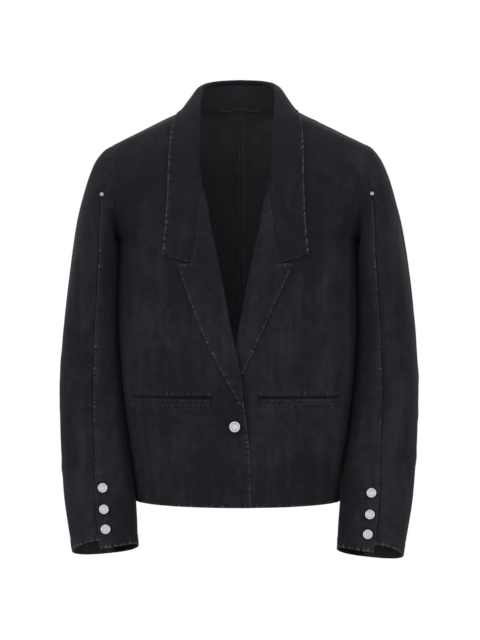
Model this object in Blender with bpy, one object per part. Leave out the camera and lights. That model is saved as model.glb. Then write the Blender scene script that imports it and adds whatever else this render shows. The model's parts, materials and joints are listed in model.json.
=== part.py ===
import math

import bpy
import numpy as np
from mathutils import Vector
from mathutils.bvhtree import BVHTree

# Denim blazer, filled out with no wearer. Metres, +Z up, front faces -Y, +X is the wearer's left.
# The origin is the nape: the middle of the back neck seam.

panelWall = 0.0014     # one layer of denim
leafWall = 0.0020      # collar and lapels, two layers pressed together
seamGap = 0.0003       # clearance between pieces that meet
armholeGap = 0.0010    # between the armhole's edge and the sleeve head
shift = 0.0002         # splits the side seam between front and back
overlayLift = 0.0026   # outer face of a leaf above the panel that it lies on
sectionPower = 2.4     # how square the body's sections are
sleevePower = 2.35
napeRow = 12.85        # row of the back that crosses the nape
shoulderRow = 14
underarmRow = 6
neckHalfWidth = 0.072
leftSleeveExtra = 0.004   # how much longer the left sleeve hangs
backSeam = 262         # angle of the sleeve's back seam


def table(columns, *rows):
    """Named columns over rows, each read by a smooth curve through its values."""
    return dict(zip(columns.split(), np.array(rows, float).T))


# One row for each section, hem to shoulder seam. midZ and midY lie on the centre line, carried on over
# the neck opening; edge is the side seam and then the armhole; trim is how much of the section is cut off.
# cut is where the front panel ends, out from the centre line: front edge, roll line, then neckline.
# lap is how far the front on top stands off the one below.
frontRows = table(
    "midZ midY edgeX edgeY edgeZ trim sag cut lap",
    (-0.622, -0.126, 0.1600, 0.010, -0.6195, 0.000, 2.0, -0.0228, 0.0030),
    (-0.560, -0.129, 0.1675, 0.012, -0.560, 0.000, 2.0, -0.0220, 0.0032),
    (-0.490, -0.131, 0.1770, 0.013, -0.490, 0.000, 2.0, -0.0160, 0.0062),
    (-0.415, -0.132, 0.1850, 0.014, -0.415, 0.000, 2.0, -0.0038, 0.0090),
    (-0.340, -0.131, 0.1888, 0.011, -0.340, 0.000, 2.0, 0.0118, 0.0056),
    (-0.275, -0.129, 0.1886, 0.006, -0.275, 0.020, 2.0, 0.0242, 0.0010),
    (-0.232, -0.127, 0.1876, 0.006, -0.220, 0.090, 1.9, 0.0329, 0.0),
    (-0.203, -0.124, 0.1862, -0.026, -0.214, 0.249, 1.8, 0.0395, 0.0),
    (-0.170, -0.120, 0.1846, -0.050, -0.197, 0.390, 1.7, 0.0445, 0.0),
    (-0.134, -0.113, 0.1845, -0.062, -0.172, 0.466, 1.5, 0.0530, 0.0),
    (-0.098, -0.103, 0.1860, -0.064, -0.145, 0.491, 1.4, 0.0575, 0.0),
    (-0.062, -0.090, 0.1885, -0.057, -0.118, 0.491, 1.3, 0.0590, 0.0),
    (-0.030, -0.073, 0.1905, -0.041, -0.094, 0.466, 1.2, 0.0625, 0.0),
    (0.002, -0.049, 0.1920, -0.021, -0.077, 0.438, 1.1, 0.0675, 0.0),
    (0.025, 0.000, 0.1930, 0.000, -0.0705, 0.407, 1.0, 0.0720, 0.0),
)
backRows = table(
    "midZ midY edgeX edgeY edgeZ trim sag",
    (-0.622, 0.116, 0.1600, 0.010, -0.6195, 0.000, 2.0),
    (-0.560, 0.119, 0.1675, 0.012, -0.560, 0.000, 2.0),
    (-0.490, 0.121, 0.1770, 0.013, -0.490, 0.000, 2.0),
    (-0.415, 0.123, 0.1850, 0.014, -0.415, 0.000, 2.0),
    (-0.340, 0.126, 0.1888, 0.011, -0.340, 0.000, 2.0),
    (-0.275, 0.129, 0.1886, 0.006, -0.275, 0.020, 2.0),
    (-0.230, 0.130, 0.1876, 0.006, -0.220, 0.090, 1.9),
    (-0.196, 0.131, 0.1862, 0.031, -0.213, 0.249, 1.8),
    (-0.158, 0.129, 0.1842, 0.055, -0.195, 0.390, 1.7),
    (-0.120, 0.124, 0.1836, 0.070, -0.170, 0.466, 1.5),
    (-0.084, 0.116, 0.1850, 0.074, -0.143, 0.491, 1.4),
    (-0.051, 0.104, 0.1875, 0.068, -0.116, 0.491, 1.3),
    (-0.022, 0.087, 0.1900, 0.050, -0.093, 0.466, 1.2),
    (0.004, 0.060, 0.1918, 0.026, -0.077, 0.438, 1.1),
    (0.025, 0.000, 0.1930, 0.000, -0.0705, 0.407, 1.0),
)
# The sleeve below the armhole: each section's middle, half width and half depth, the lean of its plane
# in degrees, and the angle of the front seam (0 is outward, 90 forward, 180 against the body).
sleeveRows = table(
    "z midX halfWidth midY halfDepth forward inward seam",
    (-0.235, 0.2222, 0.0335, -0.004, 0.083, 0, 0, 103),
    (-0.300, 0.2272, 0.0375, -0.008, 0.073, 1, -2, 103),
    (-0.370, 0.2316, 0.0412, -0.012, 0.064, 2, -1, 101),
    (-0.436, 0.2308, 0.0460, -0.017, 0.057, 5, 2, 97),
    (-0.500, 0.2268, 0.0485, -0.026, 0.052, 9, 4, 94),
    (-0.560, 0.2208, 0.0508, -0.037, 0.047, 13, 5, 91),
    (-0.612, 0.2148, 0.0518, -0.049, 0.043, 16, 6, 88),
    (-0.655, 0.2092, 0.0514, -0.060, 0.040, 17, 6, 86),
    (-0.689, 0.2048, 0.0500, -0.070, 0.039, 17, 6, 86),
)
# The sleeve head, armhole to first hanging section: the share of the way out and of the way down, and
# the front seam's angle.
headRows = table(
    "out down seam",
    (0.000, 0.000, 66),
    (0.200, 0.040, 72),
    (0.420, 0.140, 82),
    (0.583, 0.278, 89),
    (0.709, 0.423, 94),
    (0.882, 0.710, 99),
    (1.000, 1.000, 103),
)
# The collar, centre back to front corner: the fold along the top of the stand, then the gorge seam;
# the outer edge as distance out and row, front rows under 14 and back rows over it; the row of the
# neck seam below the fold.
collarRows = table(
    "x y z outX outRow neckRow",
    (0.0000, 0.064, 0.036, 0.000, 16.00, 15.15),
    (0.0300, 0.057, 0.034, 0.042, 15.85, 15.03),
    (0.0500, 0.036, 0.028, 0.078, 15.30, 14.65),
    (0.0573, 0.008, 0.018, 0.0875, 14.40, 14.10),
    (0.0575, -0.020, 0.003, 0.0930, 13.60, 13.55),
    (0.0565, -0.043, -0.017, 0.0962, 12.90, 13.00),
    (0.0555, -0.065, -0.043, 0.0986, 12.00, 12.20),
    (0.0548, -0.083, -0.072, 0.1002, 10.90, 11.30),
    (0.0528, -0.098, -0.104, 0.1010, 9.90, 10.20),
    (0.0490, -0.112, -0.140, 0.1016, 8.80, 9.10),
    (0.0540, -0.122, -0.176, 0.1030, 7.70, 8.00),
    (0.0585, -0.127, -0.220, 0.1052, 6.46, 6.60),
    (0.0655, -0.129, -0.258, 0.1074, 5.58, 5.40),
)
# The fold of a leaf over the edge that carries it: distance inward and beyond that edge.
foldRows = table(
    "inward beyond",
    (0.0045, -0.0028),
    (0.0045, 0.0004),
    (0.0030, 0.0024),
    (0.0006, 0.0032),
    (-0.0019, 0.0024),
    (-0.0034, 0.0004),
)
lapelTop = (0.0655, -0.258)      # notch corner, out and up
lapelPeak = (0.0845, -0.2620)
lapelBelly = {1: 0.0, -1: 0.0078}   # how far the outer edge bows out, by side
lapelFoot = (-0.0087, -0.4696)   # where the lapel runs out into the front edge
lapAngle = 14                    # degrees that the sleeve's inner panel laps over the outer one
ventDrop = 0.0072                # the lapping corner of the cuff hangs this much lower
ventRise = 0.0055                # and the corner under it is drawn up
weltWall = 0.0016
lapelPuff = 0.0016               # how far a leaf rounds out between its roll and its edge
collarPuff = 0.0030
collarLift = 0.0039
foldTop = (0.0006, 0.0032)       # inward and beyond, at the top of foldRows
foldEnd = 9.0                    # collar row where the fold over the stand has run out flat
notchRow = 5.30
buttonLift = 0.0006              # back of a button or rivet off the cloth
welt = {"inner": 0.0375, "outer": 0.1540, "top": -0.4540, "height": 0.0155}
frontButtonZ = -0.5010
frontButtonRadius = 0.0081
# Cuff buttons: the hanging row of the sleeve and the distance in from the front seam.
cuffButtonRadius = 0.0073
leftButtonsLower = 0.06   # rows
cuffButtons = table("row inset", (5.93, 0.0082), (6.64, 0.0086), (7.42, 0.0086))
rivetRow = 2.15


def read(rows, column, at):
    """A column at a fractional row, rising or falling only where its values do."""
    values = rows[column]
    steps = np.diff(values)
    both = steps[:-1] * steps[1:]
    inner = np.where(both > 0, 2 * both / np.where(both > 0, steps[:-1] + steps[1:], 1), 0)
    slopes = np.concatenate([steps[:1], inner, steps[-1:]])
    at = np.clip(np.asarray(at, float), 0, len(values) - 1)
    low = np.minimum(at.astype(int), len(values) - 2)
    t = at - low
    a, b, da, db = values[low], values[low + 1], slopes[low], slopes[low + 1]
    return a + t * da + t * t * (3 * (b - a) - 2 * da - db) + t**3 * (2 * (a - b) + da + db)


def ease(value):
    t = np.clip(value, 0, 1)
    return t * t * (3 - 2 * t)


def stack(*columns):
    return np.stack(np.broadcast_arrays(*columns), axis=-1)


def unit(vectors):
    return vectors / np.maximum(np.linalg.norm(vectors, axis=-1, keepdims=True), 1e-12)


def signedPower(value, power):
    return np.sign(value) * np.abs(value) ** power


def bodyPoint(rows, x, row):
    """The body's outer face, x out from the centre line, at a row. Negative x is past the centre."""
    last = read(rows, "trim", row)
    edge = read(rows, "edgeX", row)
    flat = lambda share: np.maximum(1 - share**sectionPower, 0) ** (1 / sectionPower)
    share = np.minimum(np.abs(x) / edge, 1)
    wrap = flat(last)
    midY, midZ = read(rows, "midY", row), read(rows, "midZ", row)
    edgeY, edgeZ = read(rows, "edgeY", row), read(rows, "edgeZ", row)
    y = edgeY + (midY - edgeY) * (flat(share * wrap) - last) / (1 - last)
    z = midZ + (edgeZ - midZ) * share ** read(rows, "sag", row)
    return stack(x + 0 * y, y, z)


def bodyTurn(rows, turn, row):
    """x at an even turn round the section: 0 on the centre line, 1 at the side seam or armhole."""
    wrap = (1 - read(rows, "trim", row) ** sectionPower) ** (1 / sectionPower)
    reach = np.arcsin(wrap ** (sectionPower / 2))
    return read(rows, "edgeX", row) / wrap * signedPower(np.sin(turn * reach), 2 / sectionPower)


def turnOf(rows, x, row):
    wrap = (1 - read(rows, "trim", row) ** sectionPower) ** (1 / sectionPower)
    share = np.clip(np.abs(x) / read(rows, "edgeX", row), 0, 1) * wrap
    reach = np.arcsin(wrap ** (sectionPower / 2))
    return np.sign(x) * np.arcsin(share ** (sectionPower / 2)) / reach


def frontFace(x, row, lapped=0):
    """Outer face of a front panel; the one that laps on top stands off near the centre."""
    near = 1 - ease((x - 0.022) / 0.055)
    return bodyPoint(frontRows, x, row) - stack(0, lapped * read(frontRows, "lap", row) * near, 0)


def frontPanel(u, row, lapped=0):
    start = turnOf(frontRows, read(frontRows, "cut", row), row)
    return frontFace(bodyTurn(frontRows, start + (1 - start) * u, row), row, lapped)


def neckCut(row):
    along = np.clip((shoulderRow - row) / (shoulderRow - napeRow), 0, 1)
    return neckHalfWidth * np.sqrt(1 - along**2)


def backPanel(u, row):
    start = turnOf(backRows, neckCut(row), row)
    return bodyPoint(backRows, bodyTurn(backRows, start + (1 - start) * u, row), row)


def roundPoint(x, row):
    """The body's outer face with front rows under the shoulder row and back rows, mirrored, over it."""
    front = bodyPoint(frontRows, x, np.minimum(row, shoulderRow))
    back = bodyPoint(backRows, x, np.minimum(2 * shoulderRow - row, shoulderRow))
    return np.where(np.asarray(row)[..., None] <= shoulderRow, front, back)


def frontRowAt(x, z):
    """The front row whose section passes through x, z."""
    row = np.interp(z, frontRows["midZ"], np.arange(shoulderRow + 1.0)) + 0 * x
    for _ in range(8):
        here = bodyPoint(frontRows, x, row)[..., 2]
        above = bodyPoint(frontRows, x, row + 0.05)[..., 2]
        row = np.clip(row + 0.05 * (z - here) / np.maximum(above - here, 1e-5), 0, shoulderRow - 0.2)
    return row


def armhole(angle):
    """Edge of the armhole at an angle round the sleeve: 0 at the shoulder point, 90 at the front."""
    turned = np.mod(angle, 360)
    forward = turned <= 180
    around = np.where(forward, turned, 360 - turned)
    row = shoulderRow - around / 180 * (shoulderRow - underarmRow)
    pick = lambda column: np.where(forward, read(frontRows, column, row), read(backRows, column, row))
    return stack(pick("edgeX") + armholeGap, pick("edgeY"), pick("edgeZ"))


headCount = len(headRows["out"]) - 1
sleeveCount = headCount + len(sleeveRows["z"]) - 1


def sleeveSection(angle, row):
    turn = np.radians(angle)
    out = read(sleeveRows, "halfWidth", row) * signedPower(np.cos(turn), 2 / sleevePower)
    ahead = read(sleeveRows, "halfDepth", row) * signedPower(np.sin(turn), 2 / sleevePower)
    forward = np.radians(read(sleeveRows, "forward", row))
    inward = np.radians(read(sleeveRows, "inward", row))
    return stack(
        read(sleeveRows, "midX", row) + out * np.cos(inward),
        read(sleeveRows, "midY", row) - ahead * np.cos(forward),
        read(sleeveRows, "z", row) + ahead * np.sin(forward) - out * np.sin(inward),
    )


def sleevePoint(angle, row):
    """The sleeve's outer face: head rows first, then the hanging sections."""
    row = np.asarray(row, float)
    start, end = armhole(angle), sleeveSection(angle, 0.0)
    out, down = read(headRows, "out", row), read(headRows, "down", row)
    share = stack(out, out, down)
    head = start + (end - start) * share
    return np.where((row < headCount)[..., None], head, sleeveSection(angle, row - headCount))


def seamAngle(row):
    row = np.asarray(row, float)
    return np.where(row < headCount, read(headRows, "seam", row), read(sleeveRows, "seam", row - headCount))


nape = bodyPoint(backRows, np.array(0.0), napeRow)


def outward(shape, first, second, away):
    """Normals of shape(first, second) on the side that away points to."""
    step = 1e-3
    ends = lambda value: (np.maximum(value - step, value.min()), np.minimum(value + step, value.max()))
    (a0, a1), (b0, b1) = ends(first), ends(second)
    across = shape(a1, second) - shape(a0, second)
    along = shape(first, b1) - shape(first, b0)
    return facing(unit(np.cross(across, along)), away)


def gridNormals(points, away):
    return facing(unit(np.cross(np.gradient(points, axis=0), np.gradient(points, axis=1))), away)


def facing(normals, away):
    return normals * np.sign((normals * away).sum())


def fromAxis(points):
    """Vectors away from the body's upright middle line."""
    return points * (1, 1, 0)


def fabric(name, colour, roughness=0.9, metallic=0.0):
    material = bpy.data.materials.new(name)
    material.use_nodes = True
    shader = material.node_tree.nodes["Principled BSDF"]
    shader.inputs["Base Color"].default_value = (*colour, 1)
    shader.inputs["Roughness"].default_value = roughness
    shader.inputs["Metallic"].default_value = metallic
    return material


def keep(name, points, faces, material):
    mesh = bpy.data.meshes.new(name)
    mesh.from_pydata(np.asarray(points).tolist(), [], faces)
    mesh.materials.append(material)
    mesh.shade_smooth()
    mesh.set_sharp_from_angle(angle=math.radians(40))
    thing = bpy.data.objects.new(name, mesh)
    bpy.context.scene.collection.objects.link(thing)


def walled(name, outer, normals, wall, material, side=1, cells=None):
    """A closed wall: the grid of outer points and its copy moved inward, joined round every rim."""
    rows, columns = outer.shape[:2]
    used = np.ones((rows - 1, columns - 1), bool) if cells is None else cells
    turned = np.cross(np.gradient(outer, axis=0), np.gradient(outer, axis=1))
    flip = np.sign((turned * normals).sum()) * side
    faces = []
    for i, j in np.argwhere(used):
        ring = [(i, j), (i + 1, j), (i + 1, j + 1), (i, j + 1)]
        faces.append([(0, *corner) for corner in ring])
        faces.append([(1, *corner) for corner in reversed(ring)])
        for k, (a, b) in enumerate([(i, j - 1), (i + 1, j), (i, j + 1), (i - 1, j)]):
            if 0 <= a < rows - 1 and 0 <= b < columns - 1 and used[a, b]:
                continue
            start, end = ring[k], ring[(k + 1) % 4]
            faces.append([(0, *end), (0, *start), (1, *start), (1, *end)])
    both = (np.stack([outer, outer - normals * wall]) - nape) * (side, 1, 1)
    corners = sorted({corner for face in faces for corner in face})
    number = {corner: index for index, corner in enumerate(corners)}
    faces = [[number[corner] for corner in (face if flip > 0 else face[::-1])] for face in faces]
    keep(name, [both[corner] for corner in corners], faces, material)


def grid(first, second):
    return np.meshgrid(first, second, indexing="ij")


sideName = {1: "left", -1: "right"}
lapelRows = np.array([2.55, 3, 3.5, 4, 4.5, 5, notchRow, 6, 6.5, 7, 7.6, 8.15])
panelRows = np.concatenate([[0, 0.9, 1.8], lapelRows, [8.8, 9.6, 10.4, 11.2, 12, 12.85, 13.4, 14]])


def backGrid(rows, columns):
    u, row = grid(np.linspace(0, 1, columns), rows)
    points = backPanel(u, row)
    normals = outward(backPanel, u, row, fromAxis(points))
    normals[:, -1, 1] = 0
    return points + (seamGap, shift, 0), unit(normals)


def frontGrid(rows, columns, lapped):
    u, row = grid(np.linspace(0, 1, columns), rows)
    shape = lambda a, b: frontPanel(a, b, lapped)
    points = shape(u, row)
    normals = outward(shape, u, row, fromAxis(points))
    normals[:, -1, 1] = 0
    return points - (0, shift, 0), unit(normals)


def buildBody(material):
    for side in (1, -1):
        walled("back_" + sideName[side], *backGrid(panelRows, 8), panelWall, material, side)
        walled("front_" + sideName[side], *frontGrid(panelRows, 10, side < 0), panelWall, material, side)


def sleeveGrid(angle, row, under, side):
    """The sleeve's outer face at angles round it, moved inward by under."""
    points = sleevePoint(angle, row)
    normals = outward(sleevePoint, angle, row, points - sleeveMiddle(row))
    points = points - normals * under[..., None]
    hanging = ease((row - headCount) / (sleeveCount - headCount))
    points[..., 2] -= (side > 0) * leftSleeveExtra * hanging
    return points, normals


def hemCorner(points, turn, reach, row, drop):
    """Lowers the cuff's corner at the front seam; turn is the angle from the seam."""
    corner = ease(1 - np.abs(turn) / reach) * ease((row - sleeveCount + 2.2) / 2.2)
    down = unit(sleeveMiddle(np.array(sleeveCount)) - sleeveMiddle(np.array(sleeveCount - 1)))
    return points + down * (drop * corner)[..., None]


def sleeveOuter(rows, columns, side):
    """From the back seam round the outside to the front seam, then on under the lap."""
    seam = seamAngle(rows)
    start = backSeam - 360 + 0.4
    even = start + (seam - 5 - start) * np.linspace(0, 1, columns)[:, None]
    angle = np.concatenate([even, seam + np.array([[-1.4], [lapAngle / 2], [lapAngle]])])
    row = np.broadcast_to(rows, angle.shape)
    under = np.zeros_like(angle)
    under[-3:] = panelWall + 2 * seamGap
    points, normals = sleeveGrid(angle, row, under, side)
    return hemCorner(points, seam - angle, 75, row, -ventRise), normals


def sleeveInner(rows, columns, side):
    """From the front seam round the side against the body to the back seam."""
    seam = seamAngle(rows)
    even = seam + lapAngle + (backSeam - seam - lapAngle) * np.linspace(0, 1, columns)[:, None]
    angle = np.concatenate([seam + np.array([[0], [lapAngle / 2]]), even])
    row = np.broadcast_to(rows, angle.shape)
    points, normals = sleeveGrid(angle, row, np.zeros_like(angle), side)
    return hemCorner(points, angle - seam, 90, row, ventDrop), normals


def sleeveMiddle(row):
    below = np.maximum(row - headCount, 0)
    return stack(read(sleeveRows, "midX", below), read(sleeveRows, "midY", below), read(sleeveRows, "z", below))


sleeveRowList = np.concatenate([[0, 1, 2, 3, 4, 5], np.linspace(6, sleeveCount, 12)])


def buildSleeves(material):
    for side in (1, -1):
        name = sideName[side]
        walled("sleeve_outer_" + name, *sleeveOuter(sleeveRowList, 10, side), panelWall, material, side)
        walled("sleeve_inner_" + name, *sleeveInner(sleeveRowList, 7, side), panelWall, material, side)


def bodySkin():
    """The outer faces of the body and the collar stand, to lay the collar on."""
    points, faces = [], []
    halves = [backGrid(panelRows, 15)[0], frontGrid(panelRows, 17, False)[0]]
    for part in [half * (side, 1, 1) for half in halves for side in (1, -1)] + [standGrid()]:
        rows, columns = part.shape[:2]
        corners = len(points) + np.arange(rows * columns).reshape(rows, columns)
        points += part.reshape(-1, 3).tolist()
        ring = [corners[:-1, :-1], corners[1:, :-1], corners[1:, 1:], corners[:-1, 1:]]
        faces += np.stack(ring, -1).reshape(-1, 4).tolist()
    return BVHTree.FromPolygons(points, faces)


def layOn(skin, points, lift):
    """Moves each point that is nearer than lift to the skin, or behind it, out to that distance."""
    moved = points.copy()
    for index in [corner for corner in np.ndindex(points.shape[:2]) for _ in range(4)]:
        spot, normal, _, _ = skin.find_nearest(Vector(moved[index]))
        spot, normal = np.array(spot), np.array(normal)
        normal *= np.sign(normal @ (spot * (1, 1, 0) + (0, 0, 0.05))) or 1
        offset = moved[index] - spot
        height = offset @ normal
        if height < lift and np.linalg.norm(offset - height * normal) < 0.006:
            moved[index] += normal * (lift - height)
    return moved


def collarEdges(at):
    """Top of the edge that carries the collar, directions inward and beyond it, its seam, the outer edge."""
    fold = stack(read(collarRows, "x", at), read(collarRows, "y", at), read(collarRows, "z", at))
    neckRow = read(collarRows, "neckRow", at)
    neckX = np.where(neckRow <= shoulderRow, read(frontRows, "cut", neckRow), neckCut(2 * shoulderRow - neckRow))
    neck = roundPoint(neckX, neckRow)
    ahead = collarStep(at)
    up = unit(fold - neck)
    inward = unit(np.cross(up, ahead))
    inward *= np.sign((inward * (-fold * (1, 1, 0))).sum(axis=-1, keepdims=True))
    up = unit(np.cross(ahead, inward))
    up *= np.sign(((fold - neck) * up).sum(axis=-1, keepdims=True) + 1e-9)
    carried = fold - inward * foldTop[0] - up * foldTop[1]
    frontRow = np.minimum(neckRow, shoulderRow - 1)
    edge, normal, beyond = panelEdge(frontRow, 0)
    panel = ease((at - 6.7) / 1.2)[:, None]
    carried = carried + (edge - carried) * panel
    inward, up = unit(inward - (inward + normal) * panel), unit(up + (beyond - up) * panel)
    outer = roundPoint(read(collarRows, "outX", at), read(collarRows, "outRow", at))
    return fold, carried, inward, up, neck, outer


def panelEdge(row, lapped):
    """A front panel's inner edge, its outward normal and the direction on beyond the panel."""
    cut = read(frontRows, "cut", row)
    edge = frontFace(cut, row, lapped)
    beyond = unit(edge - frontFace(cut + 0.004, row, lapped))
    normal = unit(np.cross(beyond, np.gradient(edge, axis=0)))
    return edge, normal * np.where(normal[..., 1:2] > 0, -1, 1), beyond


def collarStep(at):
    ends = [stack(*(read(collarRows, column, at + step) for column in "xyz")) for step in (0.05, -0.05)]
    return unit(ends[0] - ends[1])


def wrapOver(edge, inward, beyond, tuck=1.0):
    """Rows of points that fold a leaf over the edge that carries it, inside to outside. Its inner end
    draws back to the edge as tuck falls to 0."""
    ahead = [foldRows["beyond"][0] * tuck - 0.0004 * (1 - tuck), *foldRows["beyond"][1:]]
    return np.stack([edge + inward * a + beyond * b for a, b in zip(foldRows["inward"], ahead)])


standStations = np.array([0, 0.8, 1.6, 2.4, 3, 3.5, 4, 4.5, 5, 5.5, 6, 6.5, 7.0])


flatStations = np.array([8.1, 8.5, 8.8, 9.1, 9.6, 10.2, 10.8, 11.4, 12])


def standGrid():
    at = standStations
    _, carried, inward, _, neck, _ = collarEdges(at)
    bottom = neck + unit(carried - neck) * 0.0026
    share = np.linspace(0, 1, 3)[:, None, None]
    points = (bottom + (carried - bottom) * share).swapaxes(0, 1)
    return np.concatenate([points[:0:-1] * (-1, 1, 1), points])


def buildStand(material):
    points = standGrid()
    walled("collar_stand", points, gridNormals(points, fromAxis(points)), panelWall, material)


def buildCollar(material, skin):
    at = np.concatenate([standStations, flatStations])
    fold, carried, inward, up, _, outer = collarEdges(at)
    folding = ease((foldEnd - at) / 0.5)[:, None]
    wrap = wrapOver(carried, inward, up, 1 - ease((at - 6.4) / 1.2)[:, None])
    share = np.array([0.15, 0.40, 0.70, 1.0])[:, None, None]
    leaf = wrap[-1] + (outer - wrap[-1]) * share - inward * collarPuff * np.sin(np.pi * np.sqrt(share))
    share = np.concatenate([np.array([0, 0.01, 0.02, 0.04, 0.07, 0.1])[:, None, None], share])[..., 0]
    x = fold[:, 0] + (outer[:, 0] - fold[:, 0]) * share
    row = frontRowAt(x, fold[:, 2] + (outer[:, 2] - fold[:, 2]) * share)
    flat = bodyPoint(frontRows, x, row)
    down = len(standStations)
    flat[:, down:] += gridNormals(flat[:, down:], fromAxis(flat[:, down:])) * collarLift
    points = (np.concatenate([wrap, leaf]) * folding + flat * (1 - folding)).swapaxes(0, 1)
    laid = layOn(skin, points, collarLift)
    folded = np.zeros(points.shape[:2], bool)
    folded[:, :len(wrap)] = folding > 0.5
    points = np.where(folded[..., None], points, laid)
    whole = np.concatenate([points[:0:-1] * (-1, 1, 1), points])
    walled("collar", whole, gridNormals(whole, fromAxis(whole)), leafWall, material)


def gorgeX(z):
    at = np.linspace(len(collarRows["x"]) - 1, 9, 61)
    return np.interp(z, read(collarRows, "z", at), read(collarRows, "x", at))


def lapelEdgeX(z, side):
    share = (z - lapelFoot[1]) / (lapelPeak[1] - lapelFoot[1])
    bow = lapelBelly[side] * np.sin(np.pi * np.clip(share, 0, 1))
    return lapelFoot[0] + (lapelPeak[0] - lapelFoot[0]) * share + bow


def lapelColumns(row, upper, side):
    """x of the gorge column and of the outer edge at a row."""
    cut = read(frontRows, "cut", row)
    z = bodyPoint(frontRows, np.maximum(lapelEdgeX(read(frontRows, "midZ", row), side), 0.0), row)[..., 2]
    outer = lapelEdgeX(z, side)
    atNotch = read(frontRows, "cut", notchRow)
    ratio = (lapelTop[0] - 0.0018 - atNotch) / (lapelPeak[0] - atNotch)
    gorge = gorgeX(bodyPoint(frontRows, 0.056, row)[..., 2]) - 0.0016
    middle = np.where(upper, gorge, cut + (outer - cut) * ratio)
    return cut, middle, outer


def buildLapels(material):
    rows = lapelRows
    for side in (1, -1):
        shape = lambda x, row: frontFace(x, row, side < 0)
        cut, middle, outer = lapelColumns(rows, rows > notchRow, side)
        middle = np.maximum(middle, cut + 0.0035)
        outer = np.maximum(outer, middle + 0.002)
        edge, normal, beyond = panelEdge(rows, side < 0)
        wrap = wrapOver(edge, -normal, beyond)
        leaf = []
        start = cut + 0.0022
        for share in (0.25, 0.6, 1.0):
            leaf.append((start + (middle - start) * share, share * 0.5))
        for share in (0.3, 0.65, 1.0):
            leaf.append((middle + (outer - middle) * share, 0.5 + share / 2))
        columns = list(wrap)
        for x, share in leaf:
            out = outward(shape, x, rows, fromAxis(shape(x, rows)))
            puff = lapelPuff * math.sin(math.pi * min(share + 0.12, 1.0))
            columns.append(shape(x, rows) + out * (overlayLift + puff))
        points = np.stack(columns)
        cells = np.ones((points.shape[0] - 1, points.shape[1] - 1), bool)
        cells[len(wrap) + 2:, rows[:-1] >= notchRow] = False
        points = points - (0, shift, 0)
        away = gridNormals(points, fromAxis(points) - (0, 0.02, 0))
        walled("lapel_" + sideName[side], points, away, leafWall, material, side, cells)


def buildWelts(material):
    for side in (1, -1):
        across = np.linspace(welt["inner"], welt["outer"], 12)
        x, z = grid(across, np.linspace(welt["top"] - welt["height"], welt["top"], 4))
        row = frontRowAt(x, z)
        points = frontFace(x, row, side < 0)
        normals = gridNormals(points, fromAxis(points))
        points = points + normals * (weltWall + seamGap + shift)
        walled("pocket_welt_" + sideName[side], points, normals, weltWall, material, side)


def turned(name, profile, spot, normal, material, side, segments=16):
    """A solid turned about the line through spot along normal; profile rows are radius, height."""
    points, faces = [(0, 0, profile[0][1]), (0, 0, profile[-1][1])], []
    rings = profile[1:-1]
    for radius, height in rings:
        for k in range(segments):
            a = math.tau * k / segments
            points.append((radius * math.cos(a), radius * math.sin(a), height))
    at = lambda ring, k: 2 + ring * segments + k % segments
    for k in range(segments):
        faces.append([0, at(0, k + 1), at(0, k)])
        faces.append([1, at(len(rings) - 1, k), at(len(rings) - 1, k + 1)])
        for ring in range(len(rings) - 1):
            faces.append([at(ring, k), at(ring, k + 1), at(ring + 1, k + 1), at(ring + 1, k)])
    frame = Vector(normal * (side, 1, 1)).to_track_quat("Z", "Y").to_matrix()
    place = np.array(frame) @ np.array(points).T
    spot = (spot - nape) * (side, 1, 1)
    keep(name, place.T + spot, faces, material)


buttonProfile = np.array((
    (0, 0), (0.33, 0), (0.33, 0.19), (0.92, 0.22), (1.00, 0.33),
    (0.96, 0.45), (0.85, 0.49), (0.75, 0.44), (0.35, 0.44), (0, 0.44),
))
rivetProfile = ((0, 0), (0.0028, 0), (0.0031, 0.0006), (0.0026, 0.0013), (0.0014, 0.0017), (0, 0.0018))


def onSleeve(row, inset, side):
    radius = read(sleeveRows, "halfWidth", row - headCount)
    angle = seamAngle(row) + math.degrees(inset / (1.1 * float(radius)))
    angle, row = np.array([[float(angle)]]), np.array([[float(row)]])
    spot = sleevePoint(angle, row)
    across = sleevePoint(angle + 2, row) - sleevePoint(angle - 2, row)
    along = sleevePoint(angle, row + 0.05) - sleevePoint(angle, row - 0.05)
    normal = facing(unit(np.cross(across, along)), spot - sleeveMiddle(row))
    spot[..., 2] -= (side > 0) * leftSleeveExtra * ease((row - headCount) / (sleeveCount - headCount))
    return spot[0, 0], normal[0, 0]


def buildMetal(material):
    x, z = np.array([[0.0]]), np.array([[frontButtonZ]])
    row = frontRowAt(x, z)
    spot = frontFace(x, row, True)[0, 0]
    normal = np.array([0.0, -1.0, 0.0])
    turned("button_front", buttonProfile * frontButtonRadius, spot + normal * buttonLift, normal, material, -1)
    for side in (1, -1):
        name = sideName[side]
        for number, (row, inset) in enumerate(zip(cuffButtons["row"], cuffButtons["inset"]), 1):
            lower = leftButtonsLower if side > 0 else 0
            spot, normal = onSleeve(headCount + row + lower, inset, side)
            label = f"cuff_button_{name}_{number}"
            turned(label, buttonProfile * cuffButtonRadius, spot + normal * buttonLift, normal, material, side)
        spot, normal = onSleeve(rivetRow, 0.0, side)
        turned("rivet_" + name, rivetProfile, spot + normal * buttonLift, normal, material, side)


def clearScene():
    for thing in list(bpy.data.objects):
        bpy.data.objects.remove(thing)


def build():
    clearScene()
    denim = fabric("washed_black_denim", (0.016, 0.016, 0.020))
    metal = fabric("brushed_nickel", (0.62, 0.60, 0.61), 0.35, 1.0)
    buildBody(denim)
    buildSleeves(denim)
    buildStand(denim)
    buildCollar(denim, bodySkin())
    buildLapels(denim)
    buildWelts(denim)
    buildMetal(metal)


build()
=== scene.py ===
import json
import math

import bpy
import numpy as np
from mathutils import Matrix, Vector
from mathutils.bvhtree import BVHTree
from mathutils.kdtree import KDTree

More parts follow.
